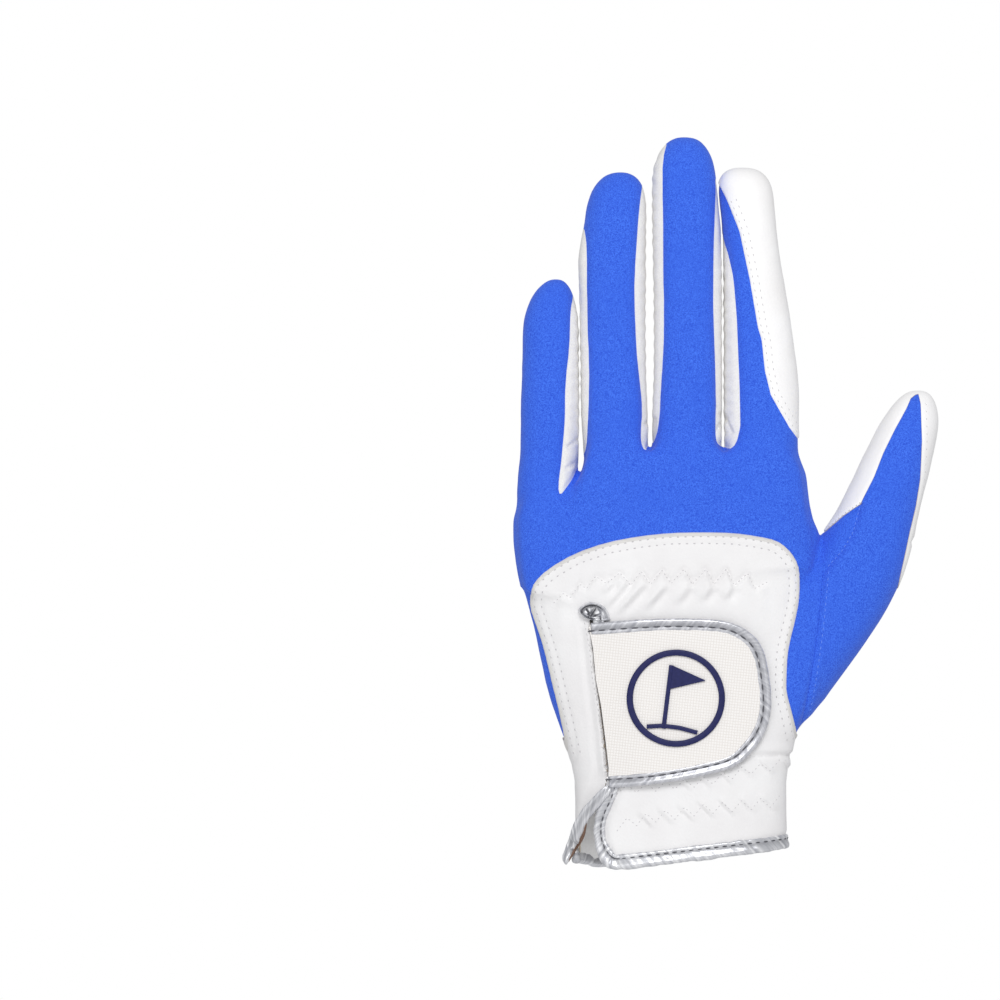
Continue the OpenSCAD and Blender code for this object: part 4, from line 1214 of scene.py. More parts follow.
# The CAD node that each piece of cloth stands for, by its panel and its body.
NODE_OF = {
    ("blue", "hand"): "back_panel", ("yoke", "hand"): "yoke", ("palm", "hand"): "palm_panel",
    ("thumb_blue", "hand"): "thumb_base_back", ("thumb_leather", "hand"): "thumb_base_palm",
    ("thumb_blue", "thumb_stall"): "thumb_back", ("thumb_leather", "thumb_stall"): "thumb_palm",
    ("little_ring", "little_stall"): "little_fourchette",
    ("little_ring", "ring_stall"): "ring_fourchette_little_side",
    ("ring_middle", "ring_stall"): "ring_fourchette_middle_side",
    ("ring_middle", "middle_stall"): "middle_fourchette_ring_side",
    ("middle_index", "middle_stall"): "middle_fourchette_index_side",
    ("middle_index", "index_stall"): "index_fourchette",
    ("index_leather", "index_stall"): "index_side_leather",
}
for finger in ("little", "ring", "middle", "index"):
    NODE_OF["blue", finger + "_stall"] = finger + "_back"
    NODE_OF["palm", finger + "_stall"] = finger + "_palm"
SEEN_POINTS, SEEN_TRIANGLES = [], []
count = 0
for panel, tris in PANELS.items():
    outer = P + SURFACE.normals * RISE[panel][:, None]
    inner = P - SURFACE.normals * SKIN
    smooth = vertex_normals(outer, tris)
    used, index = np.unique(tris, return_inverse=True)
    SEEN_POINTS.append(outer[used])
    SEEN_TRIANGLES.append(index.reshape(-1, 3) + count)
    count += len(used)
    owner = body_index(P[tris].mean(axis=1))
    for i, body in enumerate(BODIES):
        part = tris[owner == i]
        if len(part) < MIN_TRIANGLES:
            continue
        node = NODE_OF.get((panel, body))
        look = LOOKS[panel]
        folded, looks = None, (look, "lining", "knit" if look == "knit" else "edge")
        if panel == "yoke":
            middle = P[part].mean(axis=1)
            # The folded edge strip takes the greyer leather, which holds painted shade of the fold.
            folded = (inside(middle[:, [0, 2]], YOKE) < YOKE_FOLD) & (middle[:, 1] < 0) & (middle[:, 2] > 30)
            looks = (*looks, "fold")
        name = f"{node or panel + '_' + body}_cloth"
        piece = shell(name, part, outer, inner, smooth, *looks, folded=folded)
        attach(piece, body, SLOTS[look])
        if node:
            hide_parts(node)
BVH = BVHTree.FromPolygons(np.vstack(SEEN_POINTS).tolist(), np.vstack(SEEN_TRIANGLES).tolist())

for name, tris in PATCHES.items():
    if name == "loop_patch":
        rise = RISE["yoke"]
        look, low_side, high_side = "loops", rise + 0.05, rise + 0.75
    else:
        look = "label" if name == "size_label" else "elastic"
        high_side, low_side = (np.full(len(P), side) for side in INSIDE_BANDS)
    outer = P + SURFACE.normals * high_side[:, None]
    inner = P + SURFACE.normals * low_side[:, None]
    piece = shell(name + "_cloth", tris, outer, inner, vertex_normals(outer, tris), look, look, look)
    attach(piece, "hand", {"loops": "loop_fabric", "label": "label_tape", "elastic": "elastic"}[look])
    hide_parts(name)

# ---------------------------------------------------------------- placing things on the cloth


CAST_FROM = 60.0  # well outside the glove, in front of it or behind it
FACING_LEAST = 0.25  # stitches are left out where the cloth faces further than this from the view


def cast(x, z, side=-1):
    """Point and normal where the cloth is met from the front (-1) or the palm side (+1)."""
    hit, normal, _, _ = BVH.ray_cast(Vector((x, side * CAST_FROM, z)), Vector((0, -side, 0)))
    if hit is None:
        return None, None
    return np.array(hit), np.array(normal)


def resample(line, step):
    """Points at equal spacing along a line of any dimension."""
    line = np.array(line, float)
    lengths = np.linalg.norm(np.diff(line, axis=0), axis=1)
    at = np.concatenate([[0], np.cumsum(lengths)])
    n = max(int(round(at[-1] / step)), 1)
    q = np.linspace(0, at[-1], n + 1)
    return np.stack([np.interp(q, at, line[:, k]) for k in range(line.shape[1])], axis=1)


def directions(line):
    """Which way a line runs, at each of its points."""
    return unit(np.gradient(np.asarray(line, float), axis=0))


def offset(line, distance, smooth=1):
    """A line of (x, z) points moved sideways, to the right of its direction."""
    line = resample(line, 0.8)
    for _ in range(smooth):
        line[1:-1] = (line[:-2] + 2 * line[1:-1] + line[2:]) / 4
    d = directions(line)
    return line + np.stack([d[:, 1], -d[:, 0]], axis=1) * distance


BEAD_RINGS, BEAD_AROUND = 6, 10


def bead():
    """A small unit ball: its points, its quads and its two flat ends."""
    polar = math.pi * (0.04 + 0.92 * np.arange(BEAD_RINGS + 1)[:, None] / BEAD_RINGS)
    turn = 2 * math.pi * np.arange(BEAD_AROUND)[None] / BEAD_AROUND
    along, out = np.cos(polar) + 0 * turn, np.sin(polar)
    points = np.stack([along, out * np.cos(turn), out * np.sin(turn)], axis=-1)
    ends = [np.arange(BEAD_AROUND)[::-1], BEAD_RINGS * BEAD_AROUND + np.arange(BEAD_AROUND)]
    return points.reshape(-1, 3), ring_quads(BEAD_RINGS + 1, BEAD_AROUND), ends


BEAD_POINTS, BEAD_FACES, BEAD_ENDS = bead()


def beads(name, places, along, up, size, look, body, slot=None):
    """Many small rounded pieces in one mesh: size is half the length, width and height of each."""
    places, along, up = (np.asarray(v, float) for v in (places, along, up))
    across = unit(np.cross(up, along))
    up = unit(np.cross(along, across))
    b = BEAD_POINTS * np.array(size)
    pts = places[:, None, :] + sum(b[None, :, k:k + 1] * axis[:, None, :]
                                   for k, axis in enumerate((along, across, up)))
    shift = np.arange(len(places))[:, None, None] * len(BEAD_POINTS)
    sides = (BEAD_FACES[None] + shift).reshape(-1, 4)
    caps = np.vstack([(end[None, None] + shift).reshape(-1, BEAD_AROUND) for end in BEAD_ENDS])
    mesh = build_mesh(name, pts.reshape(-1, 3), [sides, caps])
    piece = link(name, mesh, look)
    attach(piece, body, slot)
    return piece


def stitch_row(name, line, pitch, length, look="thread", thick=0.2, sink=0.0, side=-1, wide=1.0):
    """A row of stitches along a line of (x, z) points, lying on the cloth."""
    spots = resample(line, pitch)
    rows = {}
    for (x, z), (dx, dz) in zip(spots, directions(spots)):
        hit, normal = cast(x, z, side)
        if hit is None or abs(normal[1]) < FACING_LEAST or (hit[1] - middle_y(hit[None])[0]) * side < 0:
            continue
        d = np.array([dx, 0, dz])
        d = d - normal * (d @ normal)
        body = BODIES[body_index(hit[None])[0]]
        rows.setdefault(body, []).append((hit - normal * sink, unit(d), normal))
    for body, row in rows.items():
        spot, along, up = zip(*row)
        beads(f"{name}_{body}", spot, along, up, (length / 2, thick * wide, thick), look, body)


# Section of folded tape, as a closed loop: across it from its edge, and out from its middle.
TAPE = [
    (0.0, 0.0), (0.04, 0.45), (0.25, 0.85), (0.7, 1.08), (1.2, 1.0), (1.6, 0.82), (2.0, 0.66), (2.4, 0.60),
    (2.9, 0.68), (3.4, 0.66), (3.62, 0.45), (3.65, 0.2), (3.62, -0.1), (3.4, -0.3), (2.4, -0.6), (1.2, -0.95),
    (0.7, -1.05), (0.25, -0.8), (0.04, -0.42),
]
TAPE_WIDTH = 3.65
TAPE_POINTS = 30  # points round the section of a tape


def smooth_profile(profile, n):
    """A closed outline as about n points, equally spaced."""
    loop = np.array([*profile, profile[0]], float)
    return resample(loop, np.linalg.norm(np.diff(loop, axis=0), axis=1).sum() / n)[:-1]


def keep_tape_coords(mesh, coords):
    """Gives a mesh the coordinates that the silver materials follow."""
    mesh.attributes.new(TAPE_COORDS, "FLOAT_VECTOR", "POINT").data.foreach_set("vector", coords.ravel())


def tape(name, path, inward, up, body, width=TAPE_WIDTH, lift=1.0, wrinkle=0.12, scale=None, look="silver",
         slot=None, seed=0, slant=0.8):
    """Binding tape folded round an edge: the path is the edge, and the tape reaches inward from it."""
    path, inward, up = (np.asarray(v, float) for v in (path, inward, up))
    section = smooth_profile(TAPE, TAPE_POINTS) * (width / TAPE_WIDTH, lift)
    m = len(section)
    scale = np.ones(len(path)) if scale is None else np.asarray(scale)
    s = np.concatenate([[0], np.cumsum(np.linalg.norm(np.diff(path, axis=0), axis=1))])
    outward = directions(np.vstack([section, section[:1]]))[:-1]
    outward = np.stack([-outward[:, 1], outward[:, 0]], axis=1)
    rows, own = [], []
    for i in range(len(path)):
        q = np.stack([s[i] + slant * section[:, 0], 0.25 * section[:, 0], 0.3 * section[:, 1]], axis=1)
        small, large, fine = noise(q, 1.5, 11 + seed), noise(q, 3.2, 12 + seed), noise(q, 0.7, 13 + seed)
        w = wrinkle * (small + 0.9 * large + 0.25 * fine)
        uv = (section + outward * w[:, None]) * scale[i]
        rows.append(path[i] + inward[i] * uv[:, :1] + up[i] * uv[:, 1:])
        own.append(q)
    pts = np.vstack(rows)
    quads = ring_quads(len(path), m)
    ends = [np.arange(m)[None, ::-1], (np.arange(m) + (len(path) - 1) * m)[None]]
    middle = np.repeat(np.array([r.mean(axis=0) for r in rows])[:-1], m, axis=0)
    if (face_normals(pts, quads) * (pts[quads[:, 0]] - middle)).sum() < 0:
        quads, ends = quads[:, ::-1], [end[:, ::-1] for end in ends]
    mesh = build_mesh(name, pts, [quads, *ends])
    keep_tape_coords(mesh, np.vstack(own))
    piece = link(name, mesh, look)
    attach(piece, body, slot)
    return piece


def on_cloth(line, sink=0.0):
    """Points and normals on the front of the glove under a line of (x, z) points."""
    pts, ups = [], []
    for x, z in line:
        hit, normal = cast(x, z)
        if hit is None:
            continue
        pts.append(hit - normal * sink)
        ups.append(normal)
    return np.array(pts), np.array(ups)


DEPTH_LIMIT = 24.0  # the form is thinner than this on both sides of the middle
HALVINGS = 24


def depth_at(x, z, side=-1):
    """Depth of the plain form, with no relief, at each (x, z)."""
    x, z = np.asarray(x, float), np.asarray(z, float)
    near, far = np.zeros_like(x), np.full_like(x, side * DEPTH_LIMIT)
    for _ in range(HALVINGS):
        middle = (near + far) / 2
        solid = form(x, middle, z) < 0
        near, far = np.where(solid, middle, near), np.where(solid, far, middle)
    return near


# ---------------------------------------------------------------- stitching on the panels

# Rows with the needle-hole look are grey beads whose grey paints the shade in the needle holes.
yoke_seam = [*YOKE_LEFT, *YOKE_TOP]
for row, distance in (("outer", 1.3), ("inner", 3.3)):
    stitch_row(f"yoke_stitches_{row}", offset(yoke_seam, distance), 2.25, 0.75, "hole", 0.15, 0.03, wide=1.4)
for row, distance in (("outer", 1.0), ("inner", 2.6)):
    stitch_row(f"index_stitches_{row}", offset(INDEX_EDGE[1:], -distance), 2.15, 0.8, "hole", 0.13, 0.04)
stitch_row("knuckle_zigzag", ZIGZAG, 1.25, 0.6, "hole", 0.14, 0.03)
stitch_row("cuff_zigzag_upper", ZIGZAG_A, 1.4, 0.6, "hole", 0.13, 0.05)
stitch_row("cuff_zigzag_lower", ZIGZAG_B, 1.4, 0.6, "hole", 0.13, 0.05)
stitch_row("thumb_seam_stitches", THUMB_SEAM[:5], 1.5, 1.0, "blue_thread", 0.14)
stitch_row("thumb_side_stitches", offset(THUMB_SEAM[5:], -1.5), 1.9, 1.0, "blue_thread", 0.13)
# Painted shade: dark blue beads along the thumb seam's groove.
stitch_row("thumb_seam_shade", offset(THUMB_SEAM[5:], 0.1), 1.3, 1.25, "painted_seam_shade_blue", 0.13, 0.05)
stitch_row("thumb_strip_stitches", offset(THUMB_OUTER_EDGE[1:], -1.7), 2.3, 0.7, "hole", 0.13, 0.04)
stitch_row("web_stitches", offset(THUMB_INNER_EDGE[6:], 0.4), 1.3, 0.5, "dark_thread_and_crease_shade", 0.1, 0.04)
stitch_row("thenar_stitches", THENAR[:9], 2.2, 1.4, "thread", 0.22, side=1)

# ---------------------------------------------------------------- closure tab

TAB_THICK = 1.1
TAB_CELL = 0.7
HOOKS_HEIGHT = 0.6


def tab_lift(x, z):
    """How far the middle of the tab stands off the plain form."""
    from_sewn = x - np.interp(z, [p[1] for p in TAB_SEWN][::-1], [p[0] for p in TAB_SEWN][::-1])
    return 1.55 + 1.35 * smooth_step(from_sewn, 0, 14)


def tab_point(x, z):
    """Points on the tab's middle surface."""
    x, z = np.asarray(x, float), np.asarray(z, float)
    return np.stack([x, depth_at(x, z) - tab_lift(x, z), z], axis=-1)


def tab_frame(line):
    """Points on the tab's middle surface along (x, z), with its outward normals."""
    line = np.asarray(line, float)
    step = 0.6
    p = tab_point(line[:, 0], line[:, 1])
    u = tab_point(line[:, 0] + step, line[:, 1]) - tab_point(line[:, 0] - step, line[:, 1])
    v = tab_point(line[:, 0], line[:, 1] + step) - tab_point(line[:, 0], line[:, 1] - step)
    n = unit(np.cross(u, v))
    return p, np.where(n[:, 1:2] > 0, -n, n)


tab_outline = np.vstack([rounded(TAB_EDGE, 2, closed=False), np.array(TAB_SEWN[::-1]) - (0.9, 0)])
grid_x, grid_z = np.meshgrid(np.arange(-34, 27, TAB_CELL), np.arange(16, 73, TAB_CELL))
numbers = np.arange(grid_x.size).reshape(grid_x.shape)
corner, right, above, beyond = (
    part.ravel() for part in (numbers[:-1, :-1], numbers[:-1, 1:], numbers[1:, :-1], numbers[1:, 1:]))
tab_triangles = np.vstack([
    np.stack([corner, right, beyond], axis=1),
    np.stack([corner, beyond, above], axis=1),
])
TAB = Surface(*tab_frame(np.stack([grid_x.ravel(), grid_z.ravel()], axis=1)))
body_triangles, _ = TAB.cut(tab_triangles, inside(TAB.flat(), tab_outline) - 0.5)
hook_triangles, _ = TAB.cut(body_triangles, inside(TAB.flat(), box_outline("hook_patch")))


def tab_shell(name, tris, low_side, high_side, look, slot, node):
    """One layer of the tab, between two levels from its middle surface."""
    outer = TAB.points + TAB.normals * high_side
    inner = TAB.points + TAB.normals * low_side
    piece = shell(name, tris, outer, inner, vertex_normals(outer, tris), look, look, look)
    attach(piece, "closure_tab", slot)
    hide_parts(node)


half = TAB_THICK / 2
tab_shell("tab_face_cloth", body_triangles, 0.0, half, "weave", "woven_face", "tab_face")
tab_shell("tab_backing_cloth", body_triangles, -half, -0.02, "leather", "white_leather", "tab_backing")
tab_shell("hook_patch_field", hook_triangles, -half - HOOKS_HEIGHT, -half - 0.02, "hooks", "hook_plastic",
          "hook_patch")

edge_line = resample(rounded(TAB_EDGE, 2, closed=False), 0.5)
edge_points, edge_ups = tab_frame(edge_line)
edge_inward = unit(np.cross(edge_ups, directions(edge_points)))
tab_middle = np.array([-3.0, edge_points[:, 1].mean(), 45.0])
if ((tab_middle - edge_points) * edge_inward).sum() < 0:
    edge_inward = -edge_inward
piping = tape("tab_piping_tape", edge_points, edge_inward, edge_ups, "closure_tab", wrinkle=0.06,
              look="piping", slot="silver_piping")
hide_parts("tab_piping")
seam_points = resample(edge_points + edge_inward * 2.45 + edge_ups * 0.62, 3.3)
_, seam_ups = tab_frame(seam_points[:, [0, 2]])
beads("tab_piping_stitches", seam_points, directions(seam_points), seam_ups, (1.1, 0.26, 0.16), "dark_thread_and_crease_shade",
      "closure_tab")

# ---------------------------------------------------------------- emblem: a ring with a pennant on its staff

EMBLEM_CENTRE = (-4.6, 46.0)
EMBLEM_LEAN = math.radians(7)
EMBLEM_RADIUS = 13.6
EMBLEM_RISE = 0.75
# Section of a raised band: across it, as a share of its width, and up from the tab's face.
EMBLEM_SECTION = [
    (-0.5, -0.1), (-0.5, 0.5), (-0.42, 0.68), (-0.25, EMBLEM_RISE),
    (0.25, EMBLEM_RISE), (0.42, 0.68), (0.5, 0.5), (0.5, -0.1),
]


def emblem_points(flat, level):
    """Points at one level above the tab's face, for (u, v) points about the emblem's centre."""
    c, s = math.cos(EMBLEM_LEAN), math.sin(EMBLEM_LEAN)
    u, v = np.asarray(flat, float).T
    place = np.stack([EMBLEM_CENTRE[0] + u * c + v * s, EMBLEM_CENTRE[1] - u * s + v * c], axis=1)
    base, ups = tab_frame(place)
    return base + ups * (TAB_THICK / 2 + level)


def emblem_plate(outline):
    """A raised flat shape with a small bevel."""
    outline = resample([*outline, outline[0]], 0.7)[:-1]
    centre = outline.mean(axis=0)
    n = len(outline)
    rows = []
    for inset, level in ((0, -0.1), (0, 0.5), (0.3, EMBLEM_RISE)):
        shrink = 1 - inset / np.linalg.norm(outline - centre, axis=1, keepdims=True)
        rows.append(emblem_points(centre + (outline - centre) * shrink, level))
    return np.vstack(rows), [*ring_quads(3, n).tolist(), range(n)[::-1], range(2 * n, 3 * n)]


def emblem_band(points, width, closed=False):
    """A raised band along a line of (u, v) points: rounded on top."""
    points = np.array(points, float)
    if closed:
        d = unit(np.roll(points, -1, axis=0) - np.roll(points, 1, axis=0))
    else:
        d = directions(points)
    side = np.stack([-d[:, 1], d[:, 0]], axis=1)
    rows = [emblem_points(points + side * across * width, level) for across, level in EMBLEM_SECTION]
    m, n = len(EMBLEM_SECTION), len(points)
    faces = ring_quads(n, m, closed).tolist()
    if not closed:
        faces += [range(m)[::-1], range((n - 1) * m, n * m)]
    return np.stack(rows, axis=1).reshape(-1, 3), faces


def joined(name, parts, look, body, slot):
    """One piece made of several closed shapes, each given as its points and its faces."""
    pts, faces, start = [], [], 0
    for p, f in parts:
        pts.append(np.asarray(p) * MM)
        faces.extend([tuple(start + k for k in face) for face in f])
        start += len(p)
    mesh = bpy.data.meshes.new(name)
    mesh.from_pydata(np.vstack(pts).tolist(), [], faces)
    mesh.update()
    b = bmesh.new()
    b.from_mesh(mesh)
    bmesh.ops.recalc_face_normals(b, faces=b.faces)
    b.to_mesh(mesh)
    b.free()
    mesh.shade_smooth()
    mesh.set_sharp_from_angle(angle=math.radians(40))
    piece = link(name, mesh, look)
    attach(piece, body, slot)
    return piece


turns = np.linspace(0, 2 * math.pi, 97)[:-1]
ring = [(EMBLEM_RADIUS * math.cos(t), EMBLEM_RADIUS * math.sin(t)) for t in turns]
staff = resample([(-2.6, -9.4), (-2.6, 9.6)], 1.0)
ground = resample([(-7.5, -9.4), (-3, -8.6), (2, -8.6), (7.5, -9.4)], 1.0)
pennant = emblem_plate([(-2.3, 9.6), (-2.3, 2.4), (8.2, 6.3)])
emblem_parts = [emblem_band(ring, 1.8, True), emblem_band(staff, 1.3), emblem_band(ground, 1.3), pennant]
emblem = joined("emblem_mark", emblem_parts, "navy", "closure_tab", "navy_emblem")
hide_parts("emblem")

# ---------------------------------------------------------------- bindings round the hem and the slit

HEM_STEPS = 721  # points round the hem
HEM_HALF = HEM_STEPS // 2 + 1  # those on the back of the hand
HEM_START_X, HEM_END_X = -21.0, -34.6  # the hem's tape runs from one side of the slit round to the other
HEM_SWELL = 0.28  # how much wider the tape is at the hem than up the slit
# Where the slit's edge turns into the hem.
SLIT_FOOT = [(-27.8, -0.8), (-26.4, -3.4), (-24.3, -5.1), (-21.9, -5.5)]

row = HAND_AT(np.array([-3.0]))[0]
hem_centre, hem_half, hem_deep = (row[0] + row[1]) / 2, (row[1] - row[0]) / 2, row[2]
loop = []
for t in np.linspace(-math.pi, math.pi, HEM_STEPS):
    c, s = math.cos(t), math.sin(t)
    x = hem_centre + hem_half * math.copysign(abs(c) ** (2 / HAND_POWER), c)
    y = hem_deep * math.copysign(abs(s) ** (2 / HAND_POWER), s)
    loop.append((x, y, float(hem_level(np.array([x]))[0]) - 0.2))
loop = np.array(loop)
start = np.argmin(np.abs(loop[:HEM_HALF, 0] - HEM_START_X) + 99 * (loop[:HEM_HALF, 1] > -2))
finish = np.argmin(np.abs(loop[:HEM_HALF, 0] - HEM_END_X) + 99 * (loop[:HEM_HALF, 1] > -1))
around = np.vstack([loop[start:], loop[1:finish + 1]])
slit_line = resample(rounded([*SLIT_RIGHT[:-2], *SLIT_FOOT], 2, closed=False), 0.5)
slit_points = [(x, depth_at([x], [max(z, -5)])[0] - 0.2, z) for x, z in slit_line]
lead = np.vstack([np.array(slit_points), around])
lead = resample(lead, 0.5)
for _ in range(6):
    lead[1:-1] = (lead[:-2] + 2 * lead[1:-1] + lead[2:]) / 4
ups = lead - (hem_centre, 0, 0)
ups[:, 2] = 0
for axis, size in ((0, hem_half), (1, hem_deep)):
    ups[:, axis] = np.sign(ups[:, axis]) * np.abs(ups[:, axis] / size) ** (HAND_POWER - 1) / size
ups = unit(ups)
inward = unit(np.cross(ups, directions(lead)))
if inward[len(inward) // 2, 2] < 0:
    inward = -inward
swell = 1.0 + HEM_SWELL * smooth_step(-lead[:, 2], -4, 3)
hem = tape("hem_binding_tape", lead, inward, ups, "hand", wrinkle=0.13, scale=swell, slot="silver_binding",
           seed=3)
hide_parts("hem_binding", "slit_binding_right")
hem_seam = lead + inward * 2.7 * swell[:, None] + ups * (0.66 * swell[:, None] + 0.06)
keep = np.arange(0, len(hem_seam), 5)
beads("hem_stitches", hem_seam[keep], directions(lead)[keep], ups[keep], (0.75, 0.2, 0.16), "dark_thread_and_crease_shade",
      "hand")

# The other edge of the slit: its tape lies on the cloth, and below the opening it hangs free as a tail.
SLIT_TAPE = [
    (-30.5, 68.5), (-28.3, 51), (-26.4, 36), (-24.6, 25), (-22.9, 21.4), (-23.3, 18.7), (-25.7, 15.4),
    (-29.1, 11.4), (-30.7, 9.2), (-33.5, 2.8), (-35.4, -0.8), (-37.2, -4.2),
]
TAIL_ROUND = 2.2  # length over which the tail's end is rounded off
left_line = resample(rounded(SLIT_TAPE, 2, closed=False), 0.5)
down = -left_line[:, 1]
left_depth = depth_at(np.maximum(left_line[:, 0], -34.0), np.maximum(left_line[:, 1], -4.0))
raise_tape = -0.9 + 2.3 * smooth_step(down, -23, -17)
left_points = np.stack([left_line[:, 0], left_depth - raise_tape, left_line[:, 1]], axis=1)
twist = 0.1 + 0.9 * smooth_step(down, -14, 3)
forward = directions(left_points)
flat_up = np.array([0.0, -1.0, 0.0]) * np.ones((len(left_points), 1))
flat_in = unit(np.cross(flat_up, forward))
if flat_in[10, 0] > 0:
    flat_in = -flat_in
left_in = flat_in * np.cos(twist)[:, None] - flat_up * (0.55 * np.sin(twist))[:, None]
left_up = flat_up * np.cos(0.5 * twist)[:, None] + flat_in * (0.6 * np.sin(twist))[:, None]
left_up = unit(left_up)
taper = 0.5 + 0.4 * smooth_step(down, -22, -14) + 0.12 * smooth_step(down, -14, -4)
to_go = np.linalg.norm(left_points - left_points[-1], axis=1)
taper *= np.sqrt(np.clip(1 - (1 - to_go / TAIL_ROUND).clip(0) ** 2, 0.04, 1))
left_tape = tape("slit_binding_left_tape", left_points, left_in, left_up, "hand", width=3.8, wrinkle=0.2,
                 scale=taper, slot="silver_binding", seed=7, slant=1.7)
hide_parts("slit_binding_left")
low_end = (down > -11.5) & (to_go > 1.0)
raw_side = left_points[low_end] + (0, 0.35, 0)  # a little strip of the raw side, seen behind the tail
raw_side[:, 0] += -0.5 + 1.5 * smooth_step(down[low_end], -11, -4) - 0.9 * smooth_step(down[low_end], -3, 5)
tape("slit_tail_underside", raw_side, left_in[low_end], left_up[low_end], "hand", width=1.9, lift=0.7,
     wrinkle=0.04, scale=taper[low_end], look="brown")

# Outline of the gathered end of the slit's binding, and the point its pleats fan out of.
KNOT_EDGE = [
    (-34.1, 72.1), (-32.6, 73.7), (-30.4, 74.7), (-27.6, 74.5), (-25.5, 73.1), (-24.5, 71.2), (-23.6, 68.9),
    (-26.6, 68.9), (-29.8, 69.0), (-32.5, 70.2),
]
KNOT_HEART = (-30.0, 70.7)
KNOT_LIFT = 0.9
KNOT_RINGS = 26


def knot_mesh():
    """The gathered end of the slit's binding: pleats inside a rolled rim."""
    outline = rounded(KNOT_EDGE, 2)
    edge = resample(np.vstack([outline, outline[:1]]), 0.25)[:-1]
    around = len(edge)
    spokes = edge - KNOT_HEART
    turns = np.arctan2(spokes[:, 1], spokes[:, 0])
    pleats = np.abs(np.sin(2.6 * turns + 0.5 + 0.4 * np.sin(3 * turns))) ** 0.7
    pts = []
    for i in range(KNOT_RINGS + 1):
        r = 0.03 + 0.97 * i / KNOT_RINGS
        rim = math.exp(-(((r - 0.88) / 0.1) ** 2))
        hollow = math.exp(-(((r - 0.7) / 0.08) ** 2))
        shape = smooth_step(r, 0.05, 0.35) * (1 - smooth_step(r, 0.5, 0.68))
        height = 1.2 * rim - 0.4 * hollow + 1.0 * pleats * shape - (1.6 if i == KNOT_RINGS else 0)
        flat = KNOT_HEART + r * spokes
        pts.append(np.stack([flat[:, 0], height, flat[:, 1]], axis=1))
    pts = np.vstack(pts)
    base = depth_at(pts[:, 0], pts[:, 2])
    front, back = pts.copy(), pts.copy()
    front[:, 1] = base - KNOT_LIFT - pts[:, 1]
    back[:, 1] = base + 0.4
    n = len(pts)
    top = ring_quads(KNOT_RINGS + 1, around)
    j = np.arange(around)
    k = (j + 1) % around
    side = KNOT_RINGS * around + np.stack([j, k, n + k, n + j], axis=1)
    faces = np.vstack([top, top[:, ::-1] + n, side]).tolist()
    return np.vstack([front, back]), [*faces, range(around)[::-1], range(n, n + around)]


knot = joined("slit_top_gather", [knot_mesh()], "silver", "hand", "silver_binding")
keep_tape_coords(knot.data, np.array([v.co for v in knot.data.vertices]) / MM)
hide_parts("slit_top_arch")

# Painted shade in the gather's folds: dark beads along lines, one inside the rim, one along its lower side,
# and one in each pleat.
KNOT_LINES = [
    ([(-32.9, 72.0), (-31.9, 73.0), (-30.3, 73.6), (-28.3, 73.5), (-26.8, 72.8)], 0.45),
    ([(-32.9, 71.9), (-31.6, 70.9), (-30.2, 70.3), (-28.6, 69.9), (-27.2, 69.4)], 0.45),
    ([(-30.4, 70.6), (-30.7, 71.6), (-31.1, 72.4)], 0.9),
    ([(-29.8, 70.7), (-29.2, 71.6), (-28.6, 72.5)], 0.95),
    ([(-30.9, 70.9), (-31.6, 71.6)], 0.95),
    ([(-28.9, 70.5), (-27.3, 71.1)], 1.0),
]
crease_shade_places, crease_shade_along = [], []
for line, high in KNOT_LINES:
    spots = resample(line, 0.4)
    depth = depth_at(spots[:, 0], spots[:, 1]) - KNOT_LIFT - high + 0.4
    row = np.stack([spots[:, 0], depth, spots[:, 1]], axis=1)
    crease_shade_places.append(row)
    crease_shade_along.append(directions(row))
crease_shade_places = np.vstack(crease_shade_places)
crease_shade_ups = np.array([(0, -1, 0)] * len(crease_shade_places))
# Dark beads that paint the shade down in the creases.
beads("slit_top_crease_shade", crease_shade_places, np.vstack(crease_shade_along), crease_shade_ups, (0.34, 0.19, 0.4), "dark_thread_and_crease_shade",
      "hand")

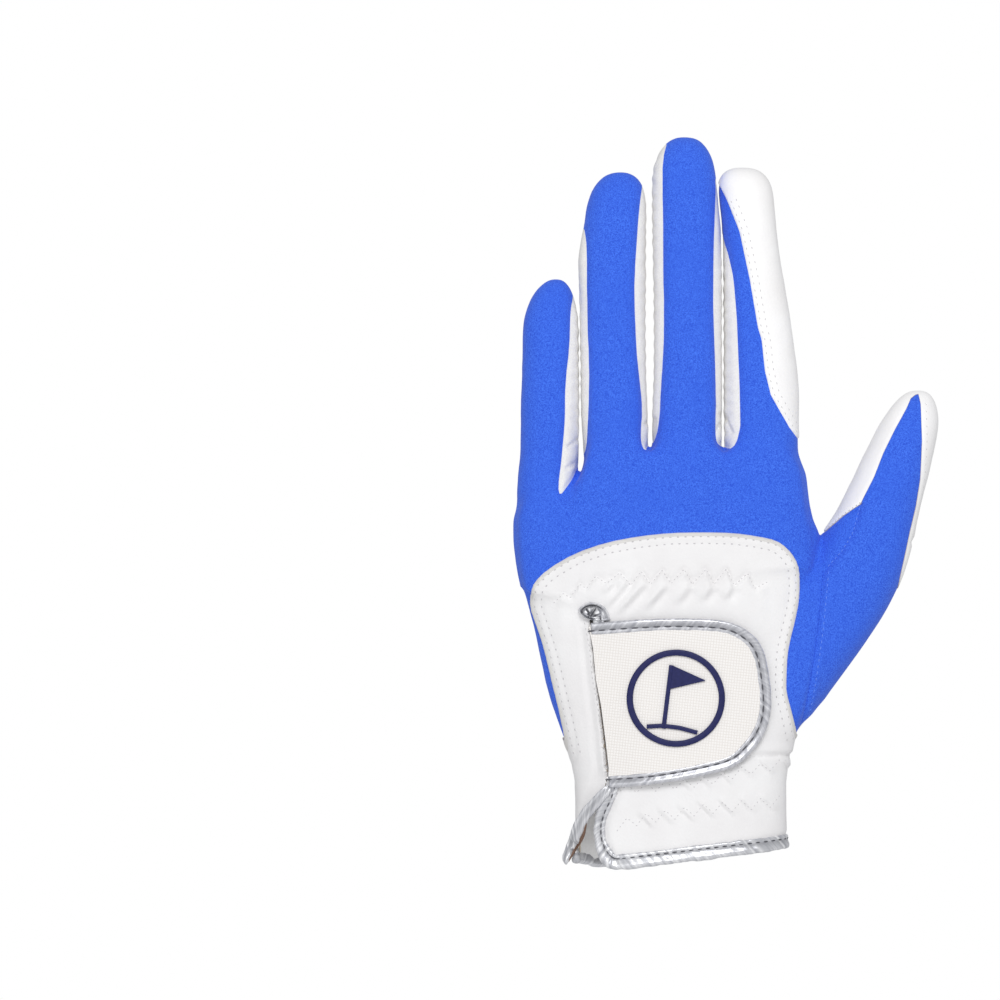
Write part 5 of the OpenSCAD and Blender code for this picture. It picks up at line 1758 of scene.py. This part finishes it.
sewn = resample(np.array(TAB_SEWN[:-1]) - (1.5, 0), 1.6)
sewn_points, sewn_ups = on_cloth(sewn)
# Grey beads that paint the shade in the needle holes where the tab is sewn.
beads("tab_sewn_stitches", sewn_points, directions(sewn_points), sewn_ups, (0.4, 0.13, 0.1), "hole", "hand")

# ---------------------------------------------------------------- silicone dots on the palm

dot_low, dot_high = node_box("palm_grip_pads")
DOT_PITCH = 6.0
DOT_FACING = 0.75  # dots are left out where the palm curves round to the sides
DOT_MARGIN = 2.6  # every dot is this far inside the outline, and a little further from the thumb's leather
THENAR_MARGIN = 3.2
DOTS_OUTLINE = [
    (-46, 38), (-49, 70), (-50, 98), (-44, 104), (26, 110), (32, 100), (31, 86), (22, 66), (18, 42), (16, 30),
    (-30, 24),
]
dot_spots, dot_ups = [], []
for i, z in enumerate(np.arange(dot_low[2] + 3, dot_high[2] - 2, DOT_PITCH * math.sqrt(3) / 2)):
    for x in np.arange(-52 + (i % 2) * DOT_PITCH / 2, 40, DOT_PITCH):
        spot = np.array([[x, z]])
        if inside(spot, DOTS_OUTLINE)[0] > DOT_MARGIN and inside(spot, THENAR)[0] < -THENAR_MARGIN:
            hit, normal = cast(x, z, 1)
            if hit is not None and normal[1] > DOT_FACING:
                dot_spots.append(hit)
                dot_ups.append(normal)
dot_along = unit(np.cross(np.array(dot_ups), (0, 0, 1)))
dots = beads("palm_grip_dots", dot_spots, dot_along, dot_ups, (2.25, 2.25, 0.55), "silicone", "hand",
             "silicone")
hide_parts("palm_grip_pads")

# ---------------------------------------------------------------- finish


def add_floor():
    """A pale floor that reaches far in front and to the right, and less far behind, so no horizon shows."""
    far, near = 6000.0, 1500.0
    corners = [(-near, -far, 0), (far, -far, 0), (far, near, 0), (-near, near, 0)]
    floor = build_mesh("floor", corners, [np.arange(4)[None]])
    piece = link("floor", floor, "floor")
    piece.location = (0, 0, CAD_BOX[0][2] - FLOOR_DROP)


add_floor()
add_camera()
add_light("key", (0.15, -1.7, 1.2), 0.8, 17)
add_light("fill", (-1.0, -2.1, 0.5), 1.5, 5)
add_world()
